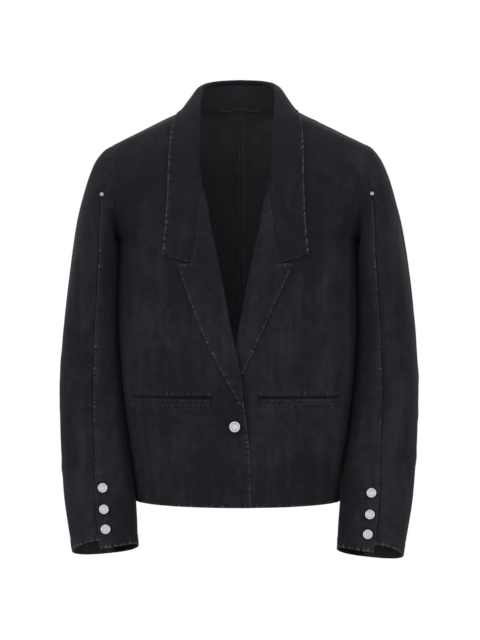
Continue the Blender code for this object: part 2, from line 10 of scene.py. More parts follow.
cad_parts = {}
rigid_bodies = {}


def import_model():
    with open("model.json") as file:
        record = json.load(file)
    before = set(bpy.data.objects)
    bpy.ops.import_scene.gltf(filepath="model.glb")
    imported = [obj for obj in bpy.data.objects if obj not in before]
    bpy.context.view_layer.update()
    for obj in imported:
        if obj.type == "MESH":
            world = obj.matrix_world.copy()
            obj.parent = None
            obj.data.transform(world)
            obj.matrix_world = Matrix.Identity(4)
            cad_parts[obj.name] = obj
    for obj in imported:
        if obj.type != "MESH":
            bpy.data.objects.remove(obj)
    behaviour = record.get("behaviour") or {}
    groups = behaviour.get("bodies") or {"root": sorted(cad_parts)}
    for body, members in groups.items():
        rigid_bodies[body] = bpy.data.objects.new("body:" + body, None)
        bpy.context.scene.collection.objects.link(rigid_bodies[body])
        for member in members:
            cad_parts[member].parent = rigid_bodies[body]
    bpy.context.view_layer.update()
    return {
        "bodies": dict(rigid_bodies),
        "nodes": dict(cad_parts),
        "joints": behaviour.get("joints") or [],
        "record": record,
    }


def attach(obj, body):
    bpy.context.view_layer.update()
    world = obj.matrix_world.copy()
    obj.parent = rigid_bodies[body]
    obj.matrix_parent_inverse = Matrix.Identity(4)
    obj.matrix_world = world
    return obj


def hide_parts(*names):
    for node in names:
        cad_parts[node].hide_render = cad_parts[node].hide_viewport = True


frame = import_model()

# Washed black denim blazer, filled out with no wearer. The origin is the nape, the front faces -Y,
# and the wearer's left is +X. The garment is cut from the same shape tables as its solids.

scene = bpy.context.scene
sideName = {1: "left", -1: "right"}

cut = {
    "wall": 0.0014,          # one layer of denim
    "leafWall": 0.0020,      # collar and lapels
    "seamGap": 0.0003,       # between layers that lie on each other
    "leafLift": 0.0026,      # outer face of a leaf above the panel under it
    "squareness": 2.4,       # of the body's sections
    "sleeveSquareness": 2.35,
    "neckHalfWidth": 0.072,
    "leftSleeveExtra": 0.004,
    "backSeam": 262,         # angle of the sleeve's back seam
    "lapAngle": 14,
    "ventDrop": 0.0072,
    "ventRise": 0.0055,
    "step": 0.0034,          # size of a cloth facet
}
napeRow, shoulderRow, underarmRow, notchRow = 12.85, 14, 6, 5.30
frontButtonZ = -0.5010


def table(columns, *rows):  # named columns over rows
    return dict(zip(columns.split(), np.array(rows, float).T))


# Sections of a front, hem to shoulder seam: the centre line, the side seam and then the armhole, how far
# round the section goes, how its height bends, where the panel ends, and how far the front on top stands
# off the other.
frontRows = table(
    "midZ midY edgeX edgeY edgeZ trim sag cut lap",
    (-0.622, -0.126, 0.1600, 0.010, -0.6195, 0.000, 2.0, -0.0228, 0.0030),
    (-0.560, -0.129, 0.1675, 0.012, -0.560, 0.000, 2.0, -0.0220, 0.0032),
    (-0.490, -0.131, 0.1770, 0.013, -0.490, 0.000, 2.0, -0.0160, 0.0062),
    (-0.415, -0.132, 0.1850, 0.014, -0.415, 0.000, 2.0, -0.0038, 0.0090),
    (-0.340, -0.131, 0.1888, 0.011, -0.340, 0.000, 2.0, 0.0118, 0.0056),
    (-0.275, -0.129, 0.1886, 0.006, -0.275, 0.020, 2.0, 0.0242, 0.0010),
    (-0.232, -0.127, 0.1876, 0.006, -0.220, 0.090, 1.9, 0.0329, 0.0),
    (-0.203, -0.124, 0.1862, -0.026, -0.214, 0.249, 1.8, 0.0395, 0.0),
    (-0.170, -0.120, 0.1846, -0.050, -0.197, 0.390, 1.7, 0.0445, 0.0),
    (-0.134, -0.113, 0.1845, -0.062, -0.172, 0.466, 1.5, 0.0530, 0.0),
    (-0.098, -0.103, 0.1860, -0.064, -0.145, 0.491, 1.4, 0.0575, 0.0),
    (-0.062, -0.090, 0.1885, -0.057, -0.118, 0.491, 1.3, 0.0590, 0.0),
    (-0.030, -0.073, 0.1905, -0.041, -0.094, 0.466, 1.2, 0.0625, 0.0),
    (0.002, -0.049, 0.1920, -0.021, -0.077, 0.438, 1.1, 0.0675, 0.0),
    (0.025, 0.000, 0.1930, 0.000, -0.0705, 0.407, 1.0, 0.0720, 0.0),
)
backRows = table(
    "midZ midY edgeX edgeY edgeZ",
    (-0.622, 0.116, 0.1600, 0.010, -0.6195),
    (-0.560, 0.119, 0.1675, 0.012, -0.560),
    (-0.490, 0.121, 0.1770, 0.013, -0.490),
    (-0.415, 0.123, 0.1850, 0.014, -0.415),
    (-0.340, 0.126, 0.1888, 0.011, -0.340),
    (-0.275, 0.129, 0.1886, 0.006, -0.275),
    (-0.230, 0.130, 0.1876, 0.006, -0.220),
    (-0.196, 0.131, 0.1862, 0.031, -0.213),
    (-0.158, 0.129, 0.1842, 0.055, -0.195),
    (-0.120, 0.124, 0.1836, 0.070, -0.170),
    (-0.084, 0.116, 0.1850, 0.074, -0.143),
    (-0.051, 0.104, 0.1875, 0.068, -0.116),
    (-0.022, 0.087, 0.1900, 0.050, -0.093),
    (0.004, 0.060, 0.1918, 0.026, -0.077),
    (0.025, 0.000, 0.1930, 0.000, -0.0705),
)
backRows.update({column: frontRows[column] for column in ("trim", "sag")})
# The sleeve below the armhole: each section's middle, half width and half depth, the lean of its plane
# in degrees, and the angle of the front seam (0 is outward, 90 forward, 180 against the body).
sleeveRows = table(
    "z midX halfWidth midY halfDepth forward inward seam",
    (-0.235, 0.2222, 0.0335, -0.004, 0.083, 0, 0, 103),
    (-0.300, 0.2272, 0.0375, -0.008, 0.073, 1, -2, 103),
    (-0.370, 0.2316, 0.0412, -0.012, 0.064, 2, -1, 101),
    (-0.436, 0.2308, 0.0460, -0.017, 0.057, 5, 2, 97),
    (-0.500, 0.2268, 0.0485, -0.026, 0.052, 9, 4, 94),
    (-0.560, 0.2208, 0.0508, -0.037, 0.047, 13, 5, 91),
    (-0.612, 0.2148, 0.0518, -0.049, 0.043, 16, 6, 88),
    (-0.655, 0.2092, 0.0514, -0.060, 0.040, 17, 6, 86),
    (-0.689, 0.2048, 0.0500, -0.070, 0.039, 17, 6, 86),
)
# The sleeve head, armhole to first hanging section: the share of the way out and of the way down, and
# the front seam's angle.
headRows = table(
    "out down seam",
    (0.000, 0.000, 66),
    (0.200, 0.040, 72),
    (0.420, 0.140, 82),
    (0.583, 0.278, 89),
    (0.709, 0.423, 94),
    (0.882, 0.710, 99),
    (1.000, 1.000, 103),
)
# The collar, centre back to front corner: the fold along the top of the stand, then the gorge seam;
# the outer edge as distance out and row, front rows under 14 and back rows over it; the row of the
# neck seam below the fold.
collarRows = table(
    "x y z outX outRow neckRow",
    (0.0000, 0.064, 0.036, 0.000, 16.00, 15.15),
    (0.0300, 0.057, 0.034, 0.042, 15.85, 15.03),
    (0.0500, 0.036, 0.028, 0.078, 15.30, 14.65),
    (0.0573, 0.008, 0.018, 0.0875, 14.40, 14.10),
    (0.0575, -0.020, 0.003, 0.0930, 13.60, 13.55),
    (0.0565, -0.043, -0.017, 0.0962, 12.90, 13.00),
    (0.0555, -0.065, -0.043, 0.0986, 12.00, 12.20),
    (0.0548, -0.083, -0.072, 0.1002, 10.90, 11.30),
    (0.0528, -0.098, -0.104, 0.1010, 9.90, 10.20),
    (0.0490, -0.112, -0.140, 0.1016, 8.80, 9.10),
    (0.0540, -0.122, -0.176, 0.1030, 7.70, 8.00),
    (0.0585, -0.127, -0.220, 0.1052, 6.46, 6.60),
    (0.0655, -0.129, -0.258, 0.1074, 5.58, 5.40),
)
# The fold of a leaf over the edge that carries it: distance inward and beyond that edge.
foldRows = table(
    "inward beyond",
    (0.0045, -0.0028),
    (0.0045, 0.0004),
    (0.0030, 0.0024),
    (0.0006, 0.0032),
    (-0.0019, 0.0024),
    (-0.0034, 0.0004),
)
lapelTop = (0.0655, -0.258)
lapelPeak = (0.0845, -0.2620)
lapelBelly = {1: 0.0, -1: 0.0078}
lapelFoot = (-0.0087, -0.4696)
welt = {"inner": 0.0375, "outer": 0.1540, "top": -0.4540, "height": 0.0155}
frontButtonRadius = 0.0081
# Cuff buttons: the hanging row of the sleeve and the distance in from the front seam.
cuffButtonRadius = 0.0073
leftButtonsLower = 0.06   # rows
cuffButtons = table("row inset", (5.93, 0.0082), (6.64, 0.0086), (7.42, 0.0086))


# A column at a fractional row, rising or falling only where its values do.
def read(rows, column, at):
    values = rows[column]
    steps = np.diff(values)
    both = steps[:-1] * steps[1:]
    inner = np.where(both > 0, 2 * both / np.where(both > 0, steps[:-1] + steps[1:], 1), 0)
    slopes = np.concatenate([steps[:1], inner, steps[-1:]])
    at = np.clip(np.asarray(at, float), 0, len(values) - 1)
    low = np.minimum(at.astype(int), len(values) - 2)
    t = at - low
    a, b, da, db = values[low], values[low + 1], slopes[low], slopes[low + 1]
    return a + t * da + t * t * (3 * (b - a) - 2 * da - db) + t**3 * (2 * (a - b) + da + db)


def several(rows, columns, at):  # the same for more than one column
    return [read(rows, column, at) for column in columns.split()]


def ease(value):
    t = np.clip(value, 0, 1)
    return t * t * (3 - 2 * t)


def stack(*columns):
    return np.stack(np.broadcast_arrays(*columns), axis=-1)


def unit(vectors):
    return vectors / np.maximum(np.linalg.norm(vectors, axis=-1, keepdims=True), 1e-12)


def signedPower(value, power):
    return np.sign(value) * np.abs(value) ** power


# The body's outer face, x out from the centre line, at a row. Negative x is past the centre.
def bodyPoint(rows, x, row):
    last, edge, midY, midZ, edgeY, edgeZ, sag = several(rows, "trim edgeX midY midZ edgeY edgeZ sag", row)
    flat = lambda share: np.maximum(1 - share**cut["squareness"], 0) ** (1 / cut["squareness"])
    share = np.minimum(np.abs(x) / edge, 1)
    wrap = flat(last)
    y = edgeY + (midY - edgeY) * (flat(share * wrap) - last) / (1 - last)
    z = midZ + (edgeZ - midZ) * share**sag
    return stack(x + 0 * y, y, z)


def wrapOf(rows, row):  # how far a section goes round, as a share of its half width and as an angle
    wrap = (1 - read(rows, "trim", row) ** cut["squareness"]) ** (1 / cut["squareness"])
    return wrap, np.arcsin(wrap ** (cut["squareness"] / 2))


# x at an even turn round the section: 0 on the centre line, 1 at the side seam or armhole.
def bodyTurn(rows, turn, row):
    wrap, reach = wrapOf(rows, row)
    return read(rows, "edgeX", row) / wrap * signedPower(np.sin(turn * reach), 2 / cut["squareness"])


def turnOf(rows, x, row):
    wrap, reach = wrapOf(rows, row)
    share = np.clip(np.abs(x) / read(rows, "edgeX", row), 0, 1) * wrap
    return np.sign(x) * np.arcsin(share ** (cut["squareness"] / 2)) / reach


# Outer face of a front panel; the one that laps on top stands off near the centre.
def frontFace(x, row, lapped=0):
    near = 1 - ease((x - 0.022) / 0.055)
    return bodyPoint(frontRows, x, row) - stack(0, lapped * read(frontRows, "lap", row) * near, 0)


def frontPanel(u, row, lapped=0):
    start = turnOf(frontRows, read(frontRows, "cut", row), row)
    return frontFace(bodyTurn(frontRows, start + (1 - start) * u, row), row, lapped)


def neckCut(row):
    along = np.clip((shoulderRow - row) / (shoulderRow - napeRow), 0, 1)
    return cut["neckHalfWidth"] * np.sqrt(1 - along**2)


def backPanel(u, row):
    start = turnOf(backRows, neckCut(row), row)
    return bodyPoint(backRows, bodyTurn(backRows, start + (1 - start) * u, row), row)


# The body's outer face with front rows under the shoulder row and back rows, mirrored, over it.
def roundPoint(x, row):
    front = bodyPoint(frontRows, x, np.minimum(row, shoulderRow))
    back = bodyPoint(backRows, x, np.minimum(2 * shoulderRow - row, shoulderRow))
    return np.where(np.asarray(row)[..., None] <= shoulderRow, front, back)


# The front row whose section passes through x, z.
def frontRowAt(x, z):
    row = np.interp(z, frontRows["midZ"], np.arange(shoulderRow + 1.0)) + 0 * x
    for _ in range(8):
        here = bodyPoint(frontRows, x, row)[..., 2]
        above = bodyPoint(frontRows, x, row + 0.05)[..., 2]
        row = np.clip(row + 0.05 * (z - here) / np.maximum(above - here, 1e-5), 0, shoulderRow - 0.2)
    return row


def frontButtonSpot(lapped):
    x, z = np.array([[0.0]]), np.array([[frontButtonZ]])
    return frontFace(x, frontRowAt(x, z), lapped)[0]


# Edge of the armhole at an angle round the sleeve: 0 at the shoulder point, 90 at the front.
def armhole(angle):
    turned = np.mod(angle, 360)
    forward = turned <= 180
    around = np.where(forward, turned, 360 - turned)
    row = shoulderRow - around / 180 * (shoulderRow - underarmRow)
    pick = lambda column: np.where(forward, read(frontRows, column, row), read(backRows, column, row))
    return stack(pick("edgeX"), pick("edgeY"), pick("edgeZ"))


headCount = len(headRows["out"]) - 1
sleeveCount = headCount + len(sleeveRows["z"]) - 1


def sleeveSection(angle, row):
    turn = np.radians(angle)
    halfWidth, halfDepth, forward, inward = several(sleeveRows, "halfWidth halfDepth forward inward", row)
    out = halfWidth * signedPower(np.cos(turn), 2 / cut["sleeveSquareness"])
    ahead = halfDepth * signedPower(np.sin(turn), 2 / cut["sleeveSquareness"])
    forward, inward = np.radians(forward), np.radians(inward)
    x, y, z = several(sleeveRows, "midX midY z", row)
    x, y = x + out * np.cos(inward), y - ahead * np.cos(forward)
    return stack(x, y, z + ahead * np.sin(forward) - out * np.sin(inward))


# The sleeve's outer face: head rows first, then the hanging sections.
def sleevePoint(angle, row):
    row = np.asarray(row, float)
    start, end = armhole(angle), sleeveSection(angle, 0.0)
    out, down = read(headRows, "out", row), read(headRows, "down", row)
    share = stack(out, out, down)
    head = start + (end - start) * share
    return np.where((row < headCount)[..., None], head, sleeveSection(angle, row - headCount))


def seamAngle(row):
    row = np.asarray(row, float)
    return np.where(row < headCount, read(headRows, "seam", row), read(sleeveRows, "seam", row - headCount))


nape = bodyPoint(backRows, np.array(0.0), napeRow)


def fromAxis(points):  # away from the body's upright middle line
    return points * (1, 1, 0)


def clothStep(points, away):  # normals of a grid of points, on the side that away points to
    normals = unit(np.cross(np.gradient(points, axis=0), np.gradient(points, axis=1)))
    return normals * np.sign((normals * away).sum())


def facing(points):  # the same, away from the body's middle line
    return clothStep(points, fromAxis(points))


def bell(offset, width):  # 1 at no offset, dying out over the width
    return np.exp(-(offset / width) ** 2)


def runs(points, axis):  # length along the cloth from the first row or column
    steps = np.linalg.norm(np.diff(points, axis=axis), axis=-1)
    first = np.zeros_like(np.take(steps, [0], axis=axis))
    return np.concatenate([first, np.cumsum(steps, axis=axis)], axis=axis)


def wobble(at, pitch, seed):  # smooth uneven wave between -1 and 1
    values = np.random.default_rng(seed).uniform(-1, 1, 4096)
    place = np.asarray(at) / pitch + 2048
    low = np.floor(place).astype(int)
    t = ease(place - low)
    return values[low % 4096] * (1 - t) + values[(low + 1) % 4096] * t


def drape(a, b, pitchA, pitchB, seed):  # smooth uneven field over two lengths, between -1 and 1
    values = np.random.default_rng(seed).uniform(-1, 1, (256, 256))
    placeA, placeB = np.asarray(a) / pitchA + 128, np.asarray(b) / pitchB + 128
    i, j = np.floor(placeA).astype(int), np.floor(placeB).astype(int)
    s, t = ease(placeA - i), ease(placeB - j)
    value = lambda m, n: values[(i + m) % 256, (j + n) % 256]
    low = value(0, 0) * (1 - s) + value(1, 0) * s
    high = value(0, 1) * (1 - s) + value(1, 1) * s
    return low * (1 - t) + high * t


def creases(a, b, rows):
    # Soft ridges and troughs along rows of start, end, bow sideways, width and height, in millimetres.
    total = np.zeros(np.broadcast(a, b).shape)
    for startA, startB, endA, endB, bow, width, height in np.array(rows) / 1000:
        length = math.hypot(endA - startA, endB - startB)
        alongA, alongB = (endA - startA) / length, (endB - startB) / length
        t = ((a - startA) * alongA + (b - startB) * alongB) / length
        aside = (a - startA) * -alongB + (b - startB) * alongA - bow * 4 * t * (1 - t)
        taper = np.sin(np.pi * np.clip(t, 0, 1)) ** 0.8
        total += height * taper * bell(aside, width)
    return total


def pulls(points, spots, reach, deep):  # the cloth is drawn in round each fixing, with a few rays
    total = np.zeros(points.shape[:2])
    for number, spot in enumerate(spots):
        offset = points - spot
        far = np.linalg.norm(offset, axis=-1)
        rays = np.cos(5 * np.arctan2(offset[..., 2], offset[..., 0]) + 1.9 * number)
        total -= deep * bell(far, reach)
        total += 0.7 * deep * (0.3 + rays) * bell(far - 1.7 * reach, 0.6 * reach)
    return total


class Net:  # a shader socket that reads as a value in an expression
    def __init__(self, tree, socket):
        self.tree, self.socket = tree, socket

    def node(self, kind, inputs=None, out=0, **settings):
        made = self.tree.nodes.new(kind)
        stops = settings.pop("stops", None)
        for name, value in settings.items():
            setattr(made, name, value)
        if stops:
            while len(made.color_ramp.elements) < len(stops):
                made.color_ramp.elements.new(0.5)
            for element, (place, shade) in zip(made.color_ramp.elements, stops):
                element.position = place
                element.color = (*shade, 1) if hasattr(shade, "__len__") else (shade, shade, shade, 1)
        for name, value in (inputs or {}).items():
            if isinstance(value, Net):
                self.tree.links.new(value.socket, made.inputs[name])
            else:
                made.inputs[name].default_value = value
        return Net(self.tree, made.outputs[out])

    def output(self, name):  # another output of the same node
        return Net(self.tree, self.socket.node.outputs[name])

    def math(self, operation, *others):
        return self.node("ShaderNodeMath", dict(enumerate(others)), operation=operation)

    def __add__(self, other): return self.math("ADD", self, other)
    def __radd__(self, other): return self.math("ADD", other, self)
    def __sub__(self, other): return self.math("SUBTRACT", self, other)
    def __rsub__(self, other): return self.math("SUBTRACT", other, self)
    def __mul__(self, other): return self.math("MULTIPLY", self, other)
    def __rmul__(self, other): return self.math("MULTIPLY", other, self)

    def sine(self): return self.math("SINE", self)
    def larger(self, other): return self.math("MAXIMUM", self, other)
    def smaller(self, other): return self.math("MINIMUM", self, other)
    def clipped(self): return self.larger(0).smaller(1)

    def between(self, low, high, start=0.0, end=1.0):  # soft step, 0 at low and 1 at high by default
        return self.node("ShaderNodeMapRange", {0: self, 1: low, 2: high, 3: start, 4: end},
                         interpolation_type="SMOOTHSTEP")


def noise(net, place, scale, detail=3.0, roughness=0.55, stretch=(1, 1, 1), distortion=0.0):
    moved = net.node("ShaderNodeMapping", {"Vector": place, "Scale": stretch}, vector_type="POINT")
    return net.node("ShaderNodeTexNoise", {"Vector": moved, "Scale": scale, "Detail": detail,
                                           "Roughness": roughness, "Distortion": distortion})


def blend(net, factor, first, second):
    pick = lambda value: value if isinstance(value, Net) else (*value, 1)
    return net.node("ShaderNodeMix", {0: factor, 6: pick(first), 7: pick(second)}, out=2, data_type="RGBA")


def dimmed(colour, share):
    return tuple(value * share for value in colour)


def attribute(net, name):
    return net.node("ShaderNodeAttribute", out=2, attribute_name=name)


def seenStraight(net):  # 1 for rays from the camera and off shiny surfaces
    ray = net.node("ShaderNodeLightPath")
    return ray.output("Is Camera Ray").larger(ray.output("Is Glossy Ray"))


def newMaterial(name):
    material = bpy.data.materials.new(name)
    material.use_nodes = True
    tree = material.node_tree
    shader = tree.nodes["Principled BSDF"]
    return material, Net(tree, shader.outputs[0]), shader


def feed(net, shader, **values):
    for name, value in values.items():
        socket = shader.inputs[name.replace("_", " ")]
        if isinstance(value, Net):
            net.tree.links.new(value.socket, socket)
        else:
            socket.default_value = value


denimLook = {
    "face": (0.0062, 0.0070, 0.0092),      # washed black, greener and bluer by turns
    "faceBlue": (0.0076, 0.0067, 0.0104),
    "pale": (0.0148, 0.0151, 0.0190),      # where the wash has taken more
    "worn": (0.085, 0.084, 0.090),         # abraded edges and ticks
    "deep": (0.0022, 0.0020, 0.0031),      # darkest colour: unworn dye in the pucker hollows and the darker pieces, and painted shade in the pocket mouth, crease hollows, sleeve insides and where the sleeves rest on the body
    "inside": (0.0620, 0.0600, 0.0700),    # weft side of the twill, made paler still as painted light for the shadowed inside
    "twillPitch": 0.0011,
    "clouds": 9,                           # scales of the noises, broad to fine
    "tint": 26,
    "streaks": 55,
    "mottle": 75,
    "yarns": 900,
    "specks": 1500,
    "tickGroups": 45,
    "ticks": 205,
    "rim": 0.0010,                         # the worn line on an edge, and the ticks behind it
    "band": 0.0030,
    "sheen": 0.026,
    "roughness": 0.90,
}


def denim(name):
    look = denimLook
    material, net, shader = newMaterial(name)
    cloth = net.node("ShaderNodeUVMap", uv_map="cloth")
    place = net.node("ShaderNodeTexCoord", out=3)
    edge, run, strength, fade, inner = (attribute(net, key) for key in "edge run wear fade inner".split())
    across = net.node("ShaderNodeSeparateXYZ", {0: cloth})
    along = across.output(1)

    # Wash: broad clouds, smaller mottling, and slubs that run with the warp and the weft.
    clouds = noise(net, place, look["clouds"], 3, 0.55)
    streaks = noise(net, place, look["streaks"], 3, 0.6, (1, 1, 0.16))
    mottle = noise(net, place, look["mottle"], 4, 0.65, distortion=0.4)
    warp = noise(net, cloth, look["yarns"], 2, 0.6, (1, 0.045, 1))
    weft = noise(net, cloth, look["yarns"], 2, 0.6, (0.06, 1, 1))
    speck = noise(net, cloth, look["specks"], 1, 0.5)
    tint = noise(net, place, look["tint"], 3, 0.6, distortion=0.8)
    washed = clouds.between(0.40, 0.62) * 0.52 + mottle.between(0.44, 0.62) * 0.42
    washed = washed + warp.between(0.45, 0.75) * 0.24
    washed = washed + streaks.between(0.46, 0.60) * 0.44 + weft.between(0.55, 0.80) * 0.14 + fade - 0.34
    shade = blend(net, tint.between(0.40, 0.60), look["face"], look["faceBlue"])
    shade = blend(net, washed.clipped(), shade, look["pale"])
    shade = blend(net, speck.between(0.62, 0.80) * 0.35, shade, look["pale"])
    # Where the fade-and-shade value is under zero the colour goes toward the darkest one: darker pieces, and
    # painted shade in the pocket mouth, crease hollows, sleeve insides and by the body.
    dark = (fade * -1.0).clipped()
    shade = blend(net, dark, shade, look["deep"])

    # Abrasion: a thin broken line on the edge itself, and short ticks square to it behind.
    runPlace = net.node("ShaderNodeCombineXYZ", {0: run, 1: edge * 0.12})
    ticks = noise(net, runPlace, look["ticks"], 1, 0.4)
    broad = noise(net, runPlace, look["tickGroups"], 2, 0.5)
    rim = net.math("EXPONENT", edge * (-1 / look["rim"]))
    band = net.math("EXPONENT", (edge - look["rim"]).larger(0) * (-1 / look["band"]))
    tick = ticks.between(0.52, 0.66)
    worn = rim * (broad.between(0.32, 0.56, 0.24, 0.72) + tick * 0.22) * ticks.between(0.38, 0.50, 0.25, 1.0)
    worn = worn + band * tick * broad.between(0.28, 0.50) * strength * 0.62
    worn = (worn * strength).clipped()
    shade = blend(net, worn, shade, look["worn"])
    hollow = band * ticks.between(0.50, 0.38) * strength * 0.9
    shade = blend(net, hollow.smaller(0.8), shade, look["deep"])

    # The inside shows the paler weft, raised as painted light, and is darker where the fade-and-shade value
    # is under zero, mostly painted shade.
    weave = warp.between(0.40, 0.72) * 0.5 + mottle.between(0.35, 0.75) * 0.4
    weave = blend(net, weave, look["inside"], dimmed(look["inside"], 0.55))
    weave = blend(net, dark, weave, look["deep"])
    weave = blend(net, worn * 0.4, weave, look["worn"])
    shade = blend(net, inner, shade, weave)

    # Twill: fine diagonal ribs broken up by the yarns, with the puckers of the seams under them.
    ribs = ((across + along) * (math.tau / look["twillPitch"]) + warp * 5.0).sine() * 0.5 + 0.5
    height = ribs * 0.10 + warp * 0.22 + weft * 0.16 + mottle * 0.6 + streaks * 0.5
    height = height + ticks * band * strength * 2.4
    bump = net.node("ShaderNodeBump", {"Strength": 0.6, "Distance": 0.0007, "Height": height})
    feed(net, shader, Base_Color=shade, Roughness=(look["roughness"] - worn * 0.05), Normal=bump)
    feed(net, shader, Sheen_Weight=look["sheen"], Sheen_Roughness=0.6, Sheen_Tint=(0.55, 0.58, 0.66, 1))
    feed(net, shader, Specular_IOR_Level=0.13)
    return material


# Every cloth piece is one closed shell: the grid of its face, the same grid a wall further in, and
# rounded rims. Lengths along the cloth feed the weave, and the distance to a seam or edge its wear.
sides = ("start", "end", "bottom", "top")
lineStep = 0.0015
runShift = 3.7   # keeps the ticks of one edge unlike those of the next, in metres
innerShift = 5   # and the weave of the inside unlike that of the face


def nearLines(points, lines):
    # Distance to the nearest of some lines of points, how far along it that is, and its strength.
    edge = np.full(points.shape[:2], 1.0)
    run, strength = np.zeros_like(edge), np.zeros_like(edge)
    for number, (line, power) in enumerate(lines):
        places = runs(line[:, None], 0)[:, 0]
        fine = np.linspace(0, places[-1], max(8, int(places[-1] / lineStep)))
        dense = np.stack([np.interp(fine, places, line[:, axis]) for axis in range(3)], -1)
        tree = KDTree(len(dense))
        for index, spot in enumerate(dense):
            tree.insert(Vector(spot), index)
        tree.balance()
        for place in np.ndindex(points.shape[:2]):
            _, index, away = tree.find(Vector(points[place]))
            if away < edge[place]:
                edge[place], run[place], strength[place] = away, fine[index] + number * runShift, power
    return edge, run, strength


def edgeWear(face, across, along, wear):  # the same from the grid's own sides
    far = {"start": across, "end": across[:, -1:] - across, "bottom": along, "top": along[-1:] - along}
    length = {"start": along, "end": along, "bottom": across, "top": across}
    edge, run, strength = np.full(face.shape[:2], 1.0), along.copy(), np.zeros(face.shape[:2])
    for number, key in enumerate(sides):
        if key in wear:
            near = far[key] < edge
            edge = np.where(near, far[key], edge)
            run = np.where(near, length[key] + number * runShift, run)
            strength = np.where(near, wear[key], strength)
    return edge, run, strength


def rimFaces(face, back, index, used, rims):
    # The rim wherever the used cells end: its points, the grid point each one goes with, and its faces.
    rows, columns = index.shape
    count = index.size
    extraPoints, extraFrom, quads = [], [], []
    padded = np.pad(used, 1)
    exposed = {
        "start": used & ~padded[1:-1, :-2], "end": used & ~padded[1:-1, 2:],
        "bottom": used & ~padded[:-2, 1:-1], "top": used & ~padded[2:, 1:-1],
    }
    inward = {"start": (0, 1), "end": (0, -1), "bottom": (1, 0), "top": (-1, 0)}
    midOf = {}
    for key, mask in exposed.items():
        di, dj = inward[key]
        bulge = rims.get(key, 0.0)
        for i, j in np.argwhere(mask):
            a, b = {"start": ((i, j), (i + 1, j)), "end": ((i + 1, j + 1), (i, j + 1)),
                    "bottom": ((i, j + 1), (i, j)), "top": ((i + 1, j), (i + 1, j + 1))}[key]
            pair = []
            for corner in (a, b):
                if corner not in midOf:
                    inner = (min(max(corner[0] + di, 0), rows - 1), min(max(corner[1] + dj, 0), columns - 1))
                    outwards = unit(face[corner] - face[inner])
                    midOf[corner] = 2 * count + len(extraPoints)
                    extraPoints.append((face[corner] + back[corner]) / 2 + outwards * bulge)
                    extraFrom.append(index[corner])
                pair.append(midOf[corner])
            quads.append((index[b], index[a], pair[0], pair[1]))
            quads.append((pair[1], pair[0], index[a] + count, index[b] + count))
    return np.array(extraPoints).reshape(-1, 3), np.array(extraFrom, int), np.array(quads)


def shell(name, face, normals, wall, material, side=1, wear=None, rims=None, cells=None, fade=None,
          thicker=None, lines=None, paintedInsideShade=0.0):  # the last argument darkens the inside faces: painted shade inside the piece
    rows, columns = face.shape[:2]
    used = np.ones((rows - 1, columns - 1), bool) if cells is None else cells
    turned = np.cross(np.gradient(face, axis=0), np.gradient(face, axis=1))
    depth = wall if thicker is None else (wall + thicker)[..., None]
    back = face - normals * depth
    across, along = runs(face, 1), runs(face, 0)
    edge, run, strength = nearLines(face, lines) if lines else edgeWear(face, across, along, wear or {})
    count = rows * columns
    index = np.arange(count).reshape(rows, columns)
    ring = np.stack([index[:-1, :-1], index[1:, :-1], index[1:, 1:], index[:-1, 1:]], -1)[used]
    rim, rimSource, quads = rimFaces(face, back, index, used, rims or {})
    faces = np.concatenate([ring, ring[:, ::-1] + count, quads])
    points = np.concatenate([face.reshape(-1, 3), back.reshape(-1, 3), rim])
    source = np.concatenate([np.arange(count), np.arange(count), rimSource])
    if (turned * normals).sum() * side < 0:
        faces = faces[:, ::-1]
    kept, where = np.unique(faces, return_inverse=True)
    faces = where.reshape(faces.shape)
    points, source = (points[kept] - nape) * (side, 1, 1), source[kept]
    inside = ((kept >= count) & (kept < 2 * count)).astype(float)
    values = {
        "edge": edge.ravel()[source], "run": run.ravel()[source], "wear": strength.ravel()[source],
        "fade": (np.zeros(count) if fade is None else fade.ravel())[source] - paintedInsideShade * inside, "inner": inside,
    }
    uv = np.stack([across.ravel()[source] + innerShift * inside, along.ravel()[source]], -1)
    return meshPiece(name, points, faces, material, uv, values)


def linked(name, data):
    thing = bpy.data.objects.new(name, data)
    scene.collection.objects.link(thing)
    return thing


def surfaced(mesh, material, values):  # smooth, with its material and a value of each kind at every point
    mesh.polygons.foreach_set("use_smooth", np.ones(len(mesh.polygons), bool))
    for key, value in values.items():
        mesh.attributes.new(key, "FLOAT", "POINT").data.foreach_set("value", np.asarray(value, np.float32))
    mesh.materials.append(material)


def meshPiece(name, points, faces, material, uv=None, values=None):
    mesh = bpy.data.meshes.new(name)
    mesh.vertices.add(len(points))
    mesh.vertices.foreach_set("co", np.asarray(points, np.float32).ravel())
    faces = np.asarray(faces)
    mesh.loops.add(faces.size)
    mesh.loops.foreach_set("vertex_index", faces.astype(np.int32).ravel())
    mesh.polygons.add(len(faces))
    mesh.polygons.foreach_set("loop_start", np.arange(0, faces.size, faces.shape[1], dtype=np.int32))
    mesh.update(calc_edges=True)
    mesh.validate()
    surfaced(mesh, material, values or {})
    if uv is not None:
        layer = mesh.uv_layers.new(name="cloth")
        corner = np.empty(len(mesh.loops), np.int32)
        mesh.loops.foreach_get("vertex_index", corner)
        layer.data.foreach_set("uv", np.asarray(uv, np.float32)[corner].ravel())
    return linked(name, mesh)


def spread(low, high, step, ends=(0.0006, 0.0018)):
    # Even places from low to high with closer ones by both ends. Lengths in metres.
    inner = np.linspace(low, high, max(3, int(round((high - low) / step)) + 1))
    near = [low + e for e in ends] + [high - e for e in ends]
    return np.unique(np.round(np.concatenate([inner, near]), 6))


rowEnds = (0.012, 0.040)  # the rows by both ends of a panel lie this much closer


def evenTurns(length, step):  # shares of a width, closer by both ends
    return spread(0, length, step) / length


def declare(piece, node, flat, area):
    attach(piece, "root")
    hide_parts(node)


